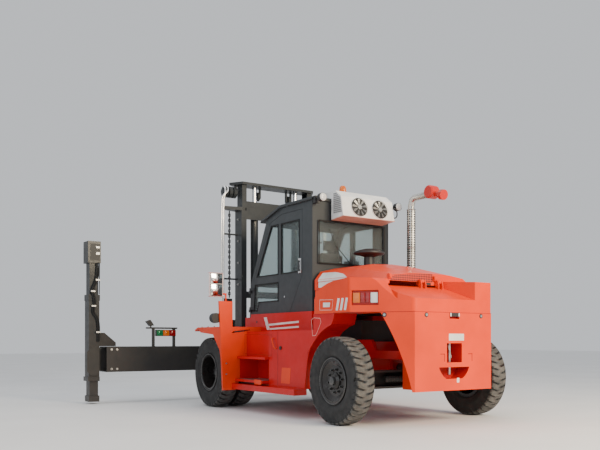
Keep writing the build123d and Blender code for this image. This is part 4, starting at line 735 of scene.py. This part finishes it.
PIN_OUTLINE = ((0.69, 0.001), (0.69, 0.02), (0.698, 0.024), (1.16, 0.024), (1.166, 0.018), (1.166, 0.001))
PIN_CHAIN = ((-4.636, 0, 1.16), (-4.64, 0.03, 1.19), (-4.64, 0.06, 1.16), (-4.7, 0.06, 1.05),
             (-4.735, 0.05, 0.93))
ARCH = ((-3.585, 1.545), (-3.526, 1.398), (-3.4, 1.366), (-3.235, 1.298), (-3.06, 1.168), (-2.88, 0.998),
        (-2.79, 0.45))
HANDLE = ((-1.85, 1.225, 1.205), (-1.855, 1.262, 1.2), (-1.935, 1.262, 1.045), (-1.935, 1.225, 1.04))
INTAKE_OUTLINE = ((2.325, 0.12), (2.345, 0.088), (2.5, 0.08), (2.53, 0.15), (2.542, 0.235), (2.556, 0.252),
                  (2.578, 0.25), (2.606, 0.18), (2.63, 0.09), (2.64, 0.001))
INTAKE_BARS = 10
STUD_PITCH, STUD_COUNT = 0.063, 14


def add_bolts(bolt):
    """The weight's bolts are sunk, so that only the ends of their heads show."""
    bm = bmesh.new()
    for x, y, way in ((-4.726, 0.51, BACK), (-4.389, 0.939, CORNER_OUT)):
        for sign in SIGNS:
            add_bolt(bm, at(x, sign * y, 1.515), swap(way, sign), bolt * 1.4)
    for sign in SIGNS:
        for x in (-0.55, -0.3, -0.05, 0.2):
            add_bolt(bm, at(x, sign * 1.52, 1.4), UP, bolt * 0.8)
        for z in (0.6, 0.78):
            add_bolt(bm, at(-0.7305, sign * 1.5, z), BACK, bolt * 0.8)
    finish_piece("body_bolts", bm, "steel", smooth=35)


def add_sides():
    """Each side's arch lip, handle, studded step plates, splash panel and step bracket."""
    lip, tread, handle, splash = forms(4)
    for sign in SIGNS:
        add_hose(lip, side_face(sign * 1.219, ARCH), 0.012, 8)
        add_hose(handle, places(*(swap(point, sign) for point in HANDLE)), 0.01)
        for low_y, high_y, z in ((0.905, 1.325, 0.5202), (0.905, 1.11, 0.9002)):
            add_side_box(tread, sign, (-1.685, -0.785), (low_y, high_y), (z, z + 0.003), 0.001, 1)
            for x in (-1.64 + i * STUD_PITCH for i in range(STUD_COUNT)):
                for y in (sign * (low_y + 0.03), sign * (low_y + 0.1), sign * (low_y + 0.17)):
                    add_rod(tread, *places((x, y, z + 0.002), (x, y, z + 0.007)), 0.01, 8, 0.006)
        add_side_box(splash, sign, (-0.7385, -0.7325), (0.835, 1.25), (0.505, 0.858), 0.001, 1)
        add_side_box(handle, sign, (-1.67, -1.44), (1.3405, 1.352), (0.455, 0.535), 0.003)
    # Splash panels and arch lips take the darkened body paint: painted shade.
    finish_piece("splash_panels", splash, "body_painted_shade")
    finish_piece("arch_lips", lip, "body_painted_shade", smooth=50)
    finish_piece("step_plates", tread, "steel", smooth=35)
    finish_piece("side_handles", handle, "body", smooth=40)


class HANDLER_OT_body_trim(bpy.types.Operator):
    """Bolts, towing pin, arch lips, step plates, handles, splash panels, intake cap and exhaust bands"""
    bl_idname = "handler.body_trim"
    bl_label = "Body trim"

    def execute(self, context):
        add_bolts(context.scene.handler_trim.bolt)
        bm = bmesh.new()
        add_turned(bm, at(-4.636, 0, 0), UP, PIN_OUTLINE, 24)
        add_hose(bm, places(*PIN_CHAIN), 0.006, 8)
        finish_piece("towing_pin", bm, "steel", smooth=35)
        add_sides()
        bm = bmesh.new()
        foot = at(-2.69, -0.045, 0)
        add_turned(bm, foot, UP, INTAKE_OUTLINE, 40)
        for i in range(INTAKE_BARS):
            turn = Matrix.Rotation(2 * math.pi * i / INTAKE_BARS, 3, "Z")
            add_rod(bm, *(foot + turn @ Vector((0.081, 0, z)) for z in (2.36, 2.49)), 0.006, 6)
        finish_piece("intake_cap", bm, "black_plastic", "hood", 35)
        bm = bmesh.new()
        for z, radius, wire in ((3.33, 0.068, 0.01), (2.1, 0.075, 0.006), (2.7, 0.075, 0.006)):
            add_ring(bm, at(-2.775, -0.85, z), UP, radius, wire)
        finish_piece("exhaust_bands", bm, "steel", smooth=40)
        return {"FINISHED"}


# Lenses of a tail lamp: name, finish, ends along the swept corner
TAIL_LENSES = (("amber", "amber_lens", 0.056, 0.158), ("red", "red_lens", 0.166, 0.232),
               ("inner_red", "red_lens", 0.238, 0.304), ("white", "clear_lens", 0.312, 0.414))
# Lenses of the spreader's signal unit: name, finish, ends over Y
SIGNAL_LENSES = (("green", "green_lens", 1.668, 1.786), ("amber", "amber_lens", 1.54, 1.658),
                 ("red", "red_lens", 1.41, 1.53))
GLASS_OUTLINE = ((0, 1.0), (0.006, 0.96), (0.012, 0.7), (0.015, 0.35))
BEACON_OUTLINE = ((0, 0.001), (0, 0.066), (0.018, 0.066), (0.022, 0.06), (0.03, 0.058), (0.085, 0.052),
                  (0.108, 0.034), (0.114, 0.001))
LENS_SUNK = 0.024


def add_tail_lenses(side, sign):
    corner = Vector((-3.98, WING_Y, 0))
    along = (Vector((REAR_X_FACE, 0.713, 0)) - corner).normalized()
    out = Vector((along.y, -along.x, 0))
    for name, finish, first, last in TAIL_LENSES:
        bm = bmesh.new()
        start, end = (corner + along * step - out * LENS_SUNK for step in (first, last))
        add_slab(bm, [swap(at(point.x, point.y, z), sign) for point, z in
                      ((start, 1.682), (end, 1.682), (end, 1.82), (start, 1.82))], swap(out * 0.014, sign))
        soften(bm, list(bm.edges), 0.004)
        finish_piece(f"tail_lens_{name}_{side}", bm, finish, smooth=40)


def add_mirror(side, sign):
    """A pale shell, a flat pane over a smaller one, and thin dark rims."""
    shell, panes, rims = forms(3)
    add_side_box(shell, sign, (-0.7325, -0.6675), (1.562, 1.803), (1.8975, 2.3025), 0.014, 3)
    for low, high in ((1.915, 2.105), (2.125, 2.285)):
        add_side_box(rims, sign, (-0.7365, -0.7322), (1.576, 1.789), (low - 0.006, high + 0.006), 0.003)
        add_side_box(panes, sign, (-0.7385, -0.7362), (1.582, 1.783), (low, high), 0.001)
    finish_piece(f"mirror_shell_{side}", shell, "white_plastic", smooth=40)
    finish_piece(f"mirror_rims_{side}", rims, "black_plastic", smooth=40)
    finish_piece(f"mirror_panes_{side}", panes, "chrome", smooth=40)


class HANDLER_OT_lamps(bpy.types.Operator):
    """Lenses of tail, head and work lamps, the mirrors, the beacon and the spreader's signal lenses"""
    bl_idname = "handler.lamps"
    bl_label = "Lamps"

    def execute(self, context):
        for side, sign in SIDES:
            add_tail_lenses(side, sign)
            bm = bmesh.new()
            for x, y, z, way, radius in ((-0.58, 1.66, 1.545, 1, 0.07), (-2.57, 0.75, 3.4, -1, 0.06)):
                dome = [(step, radius * share) for step, share in GLASS_OUTLINE] + [(0.016, 0.0005)]
                add_turned(bm, at(x, sign * y, z), (way, 0, 0), dome)
            finish_piece(f"lamp_glass_{side}", bm, "clear_lens", smooth=50)
            add_mirror(side, sign)
        bm = bmesh.new()
        add_turned(bm, at(-2.33, 0.22, 3.5605), UP, BEACON_OUTLINE, 28)
        finish_piece("beacon", bm, "amber_lens", smooth=40)
        # Each signal lens has a raised star of facets.
        for name, finish, low, high in SIGNAL_LENSES:
            bm = bmesh.new()
            middle = (low + high) / 2
            add_box(bm, at(1.676, low, 1.258), at(1.6838, high, 1.364), 0.004)
            add_rod(bm, at(1.677, middle, 1.311), at(1.668, middle, 1.311), 0.042, 8, 0.012)
            finish_piece(f"signal_{name}", bm, finish, "carriage")
        return {"FINISHED"}


# Cab

DOOR_Y = 0.76
SEAL_WIDTH, SEAL_THICK = 0.02, 0.006
# Outlines (x, z) of a door's two upper panes and its lower one
WINDOWS = (
    ((-0.426, 2.29), (-1.18, 2.29), (-1.18, 3.13), (-0.949, 3.13)),
    ((-1.29, 2.29), (-1.87, 2.29), (-1.87, 3.13), (-1.29, 3.13)),
    ((-0.315, 1.69), (-0.43, 1.69), (-0.5, 1.84), (-1.18, 1.84), (-1.18, 2.15), (-0.365, 2.15)),
)
DRIP_RAIL = ((-2.3, 3.399), (-1.3, 3.399), (-0.62, 3.221), (-0.613, 3.235), (-1.3, 3.415), (-2.3, 3.415))
# Strips of the rear window's seal: low and high (y, z)
REAR_SEAL = (((-0.66, 2.392), (0.66, 2.414)), ((-0.66, 3.068), (0.66, 3.09)), ((-0.664, 2.4), (-0.642, 3.082)),
             ((0.642, 2.4), (0.664, 3.082)))
COOLER_VENT = ((-2.36, 3.2), (-2.6, 3.19), (-2.555, 3.43), (-2.44, 3.52), (-2.36, 3.52))
COOLER_TRAY = ((-2.303, 3.1085), (-2.648, 3.137), (-2.652, 3.128), (-2.303, 3.099))
COOLER_DRAIN = ((-2.6, -0.595, 3.34), (-2.6, -0.66, 3.36), (-2.605, -0.69, 3.28), (-2.61, -0.67, 3.2),
                (-2.6, -0.595, 3.19))
FAN_BLADES, FAN_SPOKES = 9, 6


def add_seal(bm, points, y):
    """A rubber strip along a closed outline of places, standing out along Y."""
    outline = side_face(y, points)
    for first, second in zip(outline, outline[1:] + outline[:1]):
        along = (second - first).normalized()
        across = Vector((-along.z, 0, along.x)) * SEAL_WIDTH / 2
        reach = along * SEAL_WIDTH / 2
        add_slab(bm, [first - reach - across, second + reach - across, second + reach + across,
                      first - reach + across], (0, SEAL_THICK, 0))


def add_fans():
    """The roof cooler's fans with their guards, on its leaning rear face."""
    lean, rise = Vector((-0.979, 0, 0.204)), Vector((0.204, 0, 0.979))
    dark, bright = forms(2)
    for y in (-0.314, 0.095):
        centre = at(-2.607, y, 3.296) + lean * 0.0144
        guard = centre + lean * 0.016
        add_rod(dark, centre, centre + lean * 0.002, 0.15, 40)
        for i in range(FAN_BLADES):
            turns = [2 * math.pi * i / FAN_BLADES + step for step in (0.0, 0.34)]
            spokes = [Vector((0, math.cos(turn), 0)) + rise * math.sin(turn) for turn in turns]
            add_slab(bright, [centre + spokes[edge] * radius + lean * height for edge, radius, height in
                              ((0, 0.045, 0.003), (0, 0.138, 0.003), (1, 0.138, 0.009), (1, 0.045, 0.009))],
                     lean * 0.001)
        add_rod(bright, centre + lean * 0.002, centre + lean * 0.014, 0.04, 24)
        for radius in (0.06, 0.085, 0.11, 0.132, 0.151):
            add_ring(dark, guard, lean, radius, 0.0022, 40, 5)
        for i in range(FAN_SPOKES):
            turn = 2 * math.pi * i / FAN_SPOKES + 0.3
            spoke = Vector((0, math.cos(turn), 0)) + rise * math.sin(turn)
            add_rod(dark, guard + spoke * 0.03, guard + spoke * 0.152, 0.0025, 6)
    finish_piece("cooler_fan_guards", dark, "black_plastic")
    finish_piece("cooler_fan_blades", bright, "steel")


def add_cooler_trim():
    """The side vents, the drip tray and the drain hose."""
    vents, tray, drain = forms(3)
    for sign, y in ((1, 0.42), (-1, -0.6)):
        add_patch(vents, side_face(y, COOLER_VENT), (0, sign, 0), 0.003)
    add_slab(tray, side_face(-0.6, COOLER_TRAY), (0, 1.02, 0))
    add_hose(drain, places(*COOLER_DRAIN), 0.01)
    finish_piece("cooler_vents", vents, "vent_mesh")
    finish_piece("cooler_tray", tray, "salmon")
    finish_piece("cooler_drain", drain, "black_plastic", smooth=50)


def add_seat():
    """The base, then the cushions as one padded piece; the back is formed flat and stood up."""
    bm = bmesh.new()
    add_box(bm, at(-1.56, -0.22, 1.6256), at(-1.13, 0.22, 1.87), 0.02)
    finish_piece("seat_base", bm, "black_plastic", smooth=35)
    bm, back = forms(2)
    add_cushion(bm, at(-1.5, -0.17, 1.872), at(-1.052, 0.17, 2.01), 0.03, 4)
    add_cushion(back, (0.0, -0.165, -0.06), (0.66, 0.165, 0.05), 0.028, 5)
    for sign in SIGNS:
        near, far = mirrored(sign, 0.155, 0.256)
        add_cushion(bm, at(-1.5, near, 1.88), at(-1.056, far, 2.026), 0.02, cuts=9)
        near, far = mirrored(sign, 0.15, 0.238)
        add_cushion(back, (0.02, near, -0.06), (0.64, far, 0.072), 0.018, cuts=9)
    add_cushion(back, (0.7, -0.13, -0.046), (0.87, 0.13, 0.034), 0.02, cuts=9)
    for y in (-0.055, 0.055):
        add_rod(back, (0.64, y, -0.008), (0.72, y, -0.008), 0.008, 10)
    upright = Matrix(((0, 0, 1, 0), (0, 1, 0, 0), (1, 0, 0, 0), (0, 0, 0, 1)))
    bmesh.ops.transform(back, verts=back.verts, matrix=Matrix.Translation(at(-1.53, 0, 2.000))
                        @ Matrix.Rotation(math.radians(-7.1), 4, "Y") @ upright)
    merge_form(bm, back)
    seat = finish_piece("seat_cushions", bm, "leather", smooth=50, replaces=("seat",))


class HANDLER_OT_cab(bpy.types.Operator):
    """Window seals, latches, drip rails, rear window's trim, roof cooler and the padded seat"""
    bl_idname = "handler.cab"
    bl_label = "Cab trim"

    def execute(self, context):
        for side, sign in SIDES:
            bm = bmesh.new()
            for points in WINDOWS:
                add_seal(bm, points, mirrored(sign, DOOR_Y, DOOR_Y + SEAL_THICK)[0])
            finish_piece(f"door_seals_{side}", bm, "seal", f"door_{side}")
            bm = bmesh.new()
            add_side_box(bm, sign, (-1.945, -1.855), (DOOR_Y, 0.775), (2.26, 2.5), 0.004)
            add_rod(bm, at(-1.41, sign * DOOR_Y, 1.9), at(-1.41, sign * 0.772, 1.9), 0.016, 20)
            finish_piece(f"door_latch_{side}", bm, "chrome", f"door_{side}", 35)
        bm = bmesh.new()
        for sign in SIGNS:
            add_slab(bm, side_face(sign * 0.79, DRIP_RAIL), (0, sign * 0.006, 0))
        add_box(bm, at(-2.306, -0.79, 3.399), at(-2.2995, 0.79, 3.415), 0.001, 1)
        finish_piece("roof_rails", bm, "black_plastic")
        # Rear window's seal and its wiper: pivot, arm and blade
        bm = bmesh.new()
        for low, high in REAR_SEAL:
            add_box(bm, at(-2.3045, *low), at(-2.2995, *high), 0.002)
        for start, end, radius, sides in (((-2.292, 0.05, 2.42), (-2.312, 0.05, 2.42), 0.022, 16),
                                          ((-2.308, 0.05, 2.42), (-2.308, 0.36, 2.72), 0.006, 8),
                                          ((-2.3, 0.24, 2.5), (-2.3, 0.46, 2.96), 0.006, 8)):
            add_rod(bm, at(*start), at(*end), radius, sides)
        finish_piece("rear_window_trim", bm, "seal")
        add_fans()
        add_cooler_trim()
        add_seat()
        return {"FINISHED"}


# Mast and spreader

GLAND_OUTLINE = ((0, 0.0715), (0.026, 0.0715), (0.03, 0.066), (0.03, 0.0435))
CHAIN_LINKS, CHAIN_PITCH = 33, 0.048
# (y, z) routes of a post's hoses
POST_HOSE = ((2.875, 2.6), (2.895, 2.28), (2.99, 2.1), (2.925, 1.85), (2.985, 1.69), (2.87, 1.56), (2.87, 1.15))
THIN_HOSE = ((2.84, 2.58), (2.845, 2.02))
POST_CLIPS = ((2.875, 2.28), (2.96, 2.07), (2.87, 1.32), (2.95, 1.8))


class HANDLER_OT_mast(bpy.types.Operator):
    """Bolts, glands, side hoses, chains and clamps of the mast"""
    bl_idname = "handler.mast"
    bl_label = "Mast trim"

    def execute(self, context):
        bolt = context.scene.handler_trim.bolt
        bm, hoses, chain, clamps = forms(4)
        for sign in SIGNS:
            for y in (0.38, 0.44, 0.5):
                add_bolt(bm, at(0.1445, sign * y, 2.01), BACK, bolt)
            for z in (2.2, 2.6, 3.0, 3.4):
                add_bolt(bm, at(0.277, sign * 0.7725, z), (0, sign, 0), bolt)
            add_turned(bm, at(0.281, sign * 0.44, 3.4402), UP, GLAND_OUTLINE, 28)
            for y, top_y in ((1.086, 1.045), (1.124, 0.985)):
                add_hose(hoses, [swap(at(*point), sign) for point in (
                    (0.25, y, 1.88), (0.25, y, 3.7), (0.245, y - 0.02, 3.8), (0.242, top_y, 3.9),
                    (0.275, top_y, 3.975), (0.35, top_y, 4.01))], 0.016, 12)
            # Single and double links in turn
            for i in range(CHAIN_LINKS):
                z = 1.955 + i * CHAIN_PITCH
                for y in (0.932, 0.958) if i % 2 else (0.945,):
                    add_side_box(chain, sign, (0.275, 0.312), (y - 0.005, y + 0.005), (z - 0.006, z + 0.054), 0.004,
                                 1)
            add_side_box(clamps, sign, (0.255, 0.325), (0.905, 1.062), (1.845, 1.935), 0.006)
            for z in (2.28, 3.1):
                add_side_box(clamps, sign, (0.262, 0.29), (0.785, 1.062), (z, z + 0.03), 0.004)
        finish_piece("mast_bolts", bm, "steel", "mast", 35)
        finish_piece("side_hoses", hoses, "pale_hose", "inner_mast", 50)
        finish_piece("side_chains", chain, "seal", "mast")
        finish_piece("hose_clamps", clamps, "mast_black", "mast")
        return {"FINISHED"}


class HANDLER_OT_spreader(bpy.types.Operator):
    """Bolts of the spreader, and hoses, fittings and insets of its end posts"""
    bl_idname = "handler.spreader"
    bl_label = "Spreader trim"

    def execute(self, context):
        bolt = context.scene.handler_trim.bolt
        bm = bmesh.new()
        for sign in SIGNS:
            for x, ys, zs, size in ((0.699, (0.2, 0.32, 0.44, 0.6), (0.71, 1.41), bolt * 1.2),
                                    (1.66, (2.55, 2.65), (0.64, 1.00), bolt)):
                for y in ys:
                    for z in zs:
                        add_bolt(bm, at(x, sign * y, z), BACK, size)
        finish_piece("spreader_bolts", bm, "steel", "carriage", 35)
        for side, sign in SIDES:
            hoses, fittings, inset = forms(3)
            for shift in (0.0, 0.028):
                add_hose(hoses, cross_face(1.758, [(sign * (y - shift), z) for y, z in POST_HOSE]), 0.012)
            add_hose(hoses, cross_face(1.762, [(sign * y, z) for y, z in THIN_HOSE]), 0.009, 8)
            for y, z in POST_CLIPS:
                add_side_box(fittings, sign, (1.744, 1.781), (y - 0.045, y + 0.035), (z - 0.015, z + 0.015), 0.003)
            for span in ((2.74, 2.79), (2.86, 2.9)):
                add_side_box(fittings, sign, (1.755, 1.7695), (2.835, 2.905), span, 0.003)
            add_patch(inset, rectangle(1.77, sign * 2.832, sign * 3.000, 2.64, 2.945), BACK, 0.003)
            finish_piece(f"post_hoses_{side}", hoses, "seal", f"arm_{side}", 50)
            finish_piece(f"post_fittings_{side}", fittings, "steel", f"arm_{side}")
            finish_piece(f"post_inset_{side}", inset, "black_plastic", f"arm_{side}")
        return {"FINISHED"}


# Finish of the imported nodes

# A name that ends with a star stands for its left and right nodes.
NODE_FINISH = {
    "body": "rear_body engine_hood mudguards mirrors",
    "weight": "counterweight",
    # The next finish is the body paint darkened: painted shade on the side-facing parts.
    "body_painted_shade": "chassis_frame cab_sill side_tank* steps",
    "cab": "cab_shell door*",
    "mast_black": "mast_outer mast_inner lift_cylinders lift_chains hose_sheaves tilt_barrel* drive_axle rear_axle "
                  "steering_cylinder knuckle*",
    "chrome": "lift_rods tilt_rod*",
    "spreader_grey": "carriage spreader_frame arm* post*",
    "rim": "front_rims* rear_rim*",
    "glass": "cab_glass door_glass*",
    "black_plastic": "console steering_wheel lamps spreader_lamps",
    "body_dark": "tail_lamps",
    "white_plastic": "air_conditioner",
    "exhaust": "exhaust",
    "cast": "engine",
}


class HANDLER_OT_finish(bpy.types.Operator):
    """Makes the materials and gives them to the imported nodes"""
    bl_idname = "handler.finish"
    bl_label = "Paint"

    def execute(self, context):
        paint = context.scene.handler_paint
        body, side = tuple(paint.body), tuple(paint.side)
        enamel("body", body)
        # The body paint darkened, as painted shade for side-facing parts.
        enamel("body_painted_shade", side)
        enamel("weight", body, pocket_shade=side)
        enamel("body_dark", (0.36, 0.012, 0.006))
        enamel("cab", tuple(paint.cab), 0.42, 0.1)
        enamel("mast_black", tuple(paint.mast), 0.45, 0.15, 0.15)
        enamel("spreader_grey", tuple(paint.spreader), 0.48, 0.12, 0.15)
        enamel("rim", (0.01, 0.01, 0.011), 0.3, 0.06, 0.4)
        enamel("cast", (0.03, 0.03, 0.03), 0.6)
        pipe_guard("exhaust", AXLE_X - 2.775, -0.85, 0.073, 3.33, AXLE_X - 3.19, (0.58, 0.02, 0.012))
        perforated("band_mesh", (0.56, 0.026, 0.006), 0.032, "Y")
        perforated("vent_mesh", (0.6, 0.6, 0.6), 0.03, "X")
        pane("glass")
        for make, name, *values in (
            (metal, "dark_steel", (0.13, 0.13, 0.13), 0.3),
            (metal, "steel", (0.45, 0.45, 0.44), 0.38),
            (metal, "chrome", (0.78, 0.78, 0.78), 0.1, 0.02),
            (metal, "pale_hose", (0.82, 0.82, 0.82), 0.3, 0.0),
            (rubber, "tread", (0.06, 0.059, 0.057), (0.3, 0.28, 0.26)),
            (rubber, "rubber", (0.02, 0.02, 0.021), (0.085, 0.083, 0.08)),
            (rubber, "seal", (0.012, 0.012, 0.012), (0.03, 0.03, 0.03)),
            (plastic, "salmon", (0.78, 0.34, 0.25), 0.4),
            (plastic, "pale_line", (0.8, 0.5, 0.45), 0.4),
            (plastic, "black_plastic", (0.02, 0.02, 0.021)),
            (plastic, "white_plastic", (0.86, 0.86, 0.85), 0.4),
            (plastic, "white_film", (0.8, 0.79, 0.76), 0.35),
            (plastic, "leather", (0.03, 0.03, 0.032), 0.6, 90),
            (lens, "amber_lens", (0.62, 0.13, 0.003)),
            (lens, "red_lens", (0.26, 0.002, 0.003)),
            (lens, "clear_lens", (0.7, 0.72, 0.72)),
            (lens, "green_lens", (0.005, 0.16, 0.05)),
        ):
            make(name, *values)
        for finish, names in NODE_FINISH.items():
            for name in " ".join(names.replace("*", f"_{tag}") for tag, _ in SIDES).split():
                if name not in NODES:
                    self.report({"ERROR"}, f"no node {name}")
                    return {"CANCELLED"}
                for slot in bpy.data.objects[name].material_slots:
                    slot.material = MATERIALS[finish]
        return {"FINISHED"}


# Studio

# Name, place, aim, size, power, colour
LIGHTS = (
    ("key", (-13.0, -2.0, 6.0), (0.0, 0.0, 1.5), 4.0, 2000, (1.0, 0.84, 0.6)),
    ("fill", (-5.0, 12.0, 5.0), (0.0, 0.0, 1.5), 7.0, 220, (0.9, 0.95, 1.0)),
    ("top", (1.0, 2.0, 11.0), (0.0, 0.0, 1.0), 8.0, 320, (1.0, 1.0, 1.0)),
)


class HANDLER_OT_studio(bpy.types.Operator):
    """A pale floor, soft lights and a camera where the photograph was taken"""
    bl_idname = "handler.studio"
    bl_label = "Studio"

    def execute(self, context):
        bm = bmesh.new()
        bmesh.ops.create_grid(bm, x_segments=4, y_segments=4, size=60)
        floor, mesh = place_mesh("floor", bm)
        tree, shader, where = new_material("studio_floor")
        tone = ramp(tree, noise(tree, where, 0.6, 3.0), (0.3, 0.8), (0.7, 0.86))
        set_inputs(tree, shader, {"Base Color": tone, "Roughness": 0.7})
        mesh.materials.append(MATERIALS["studio_floor"])
        world = bpy.data.worlds.new("studio")
        world.use_nodes = True
        set_inputs(world.node_tree, world.node_tree.nodes["Background"],
                   {"Color": (0.93, 0.96, 1.0), "Strength": 0.74})
        context.scene.world = world
        for name, place, aim, size, power, colour in LIGHTS:
            light = bpy.data.lights.new(name, "AREA")
            light.size, light.energy, light.color = size, power, colour
            obj = place_object(name, light)
            obj.location = place
            obj.rotation_euler = (Vector(aim) - Vector(place)).to_track_quat("-Z", "Y").to_euler()
        camera = bpy.data.cameras.new("photo_view")
        camera.sensor_width, camera.lens = 36, 45.9
        camera.shift_x, camera.shift_y = -0.1291, 0.1918
        obj = place_object("photo_view", camera)
        obj.location = (-11.233, 7.218, 1.174)
        obj.rotation_euler = (math.radians(90), 0, math.radians(-126.96))
        context.scene.camera = obj
        return {"FINISHED"}


class HANDLER_PT_sidebar(bpy.types.Panel):
    """Sizes and colours, and a button for each step"""
    bl_label = "Container handler"
    bl_idname = "HANDLER_PT_sidebar"
    bl_space_type = "VIEW_3D"
    bl_region_type = "UI"
    bl_category = "Handler"

    def draw(self, context):
        for group in (context.scene.handler_paint, context.scene.handler_tyre, context.scene.handler_trim):
            box = self.layout.box()
            for name in group.__annotations__:
                box.prop(group, name)
        for operator in OPERATORS:
            self.layout.operator(operator.bl_idname)


OPERATORS = (HANDLER_OT_finish, HANDLER_OT_tyres, HANDLER_OT_wheels, HANDLER_OT_markings, HANDLER_OT_body_trim,
             HANDLER_OT_lamps, HANDLER_OT_cab, HANDLER_OT_mast, HANDLER_OT_spreader, HANDLER_OT_studio)
GROUPS = {"handler_paint": PaintSettings, "handler_tyre": TyreSettings, "handler_trim": TrimSettings}


def register():
    for name, group in GROUPS.items():
        bpy.utils.register_class(group)
        setattr(bpy.types.Scene, name, bpy.props.PointerProperty(type=group))
    for item in (*OPERATORS, HANDLER_PT_sidebar):
        bpy.utils.register_class(item)


def unregister():
    for item in reversed((*OPERATORS, HANDLER_PT_sidebar)):
        bpy.utils.unregister_class(item)
    for name, group in GROUPS.items():
        delattr(bpy.types.Scene, name)
        bpy.utils.unregister_class(group)


def main():
    register()
    for operator in OPERATORS:
        group, name = operator.bl_idname.split(".")
        if getattr(getattr(bpy.ops, group), name)() != {"FINISHED"}:
            raise RuntimeError(f"{operator.bl_label} did not finish")


if __name__ == "__main__":
    main()
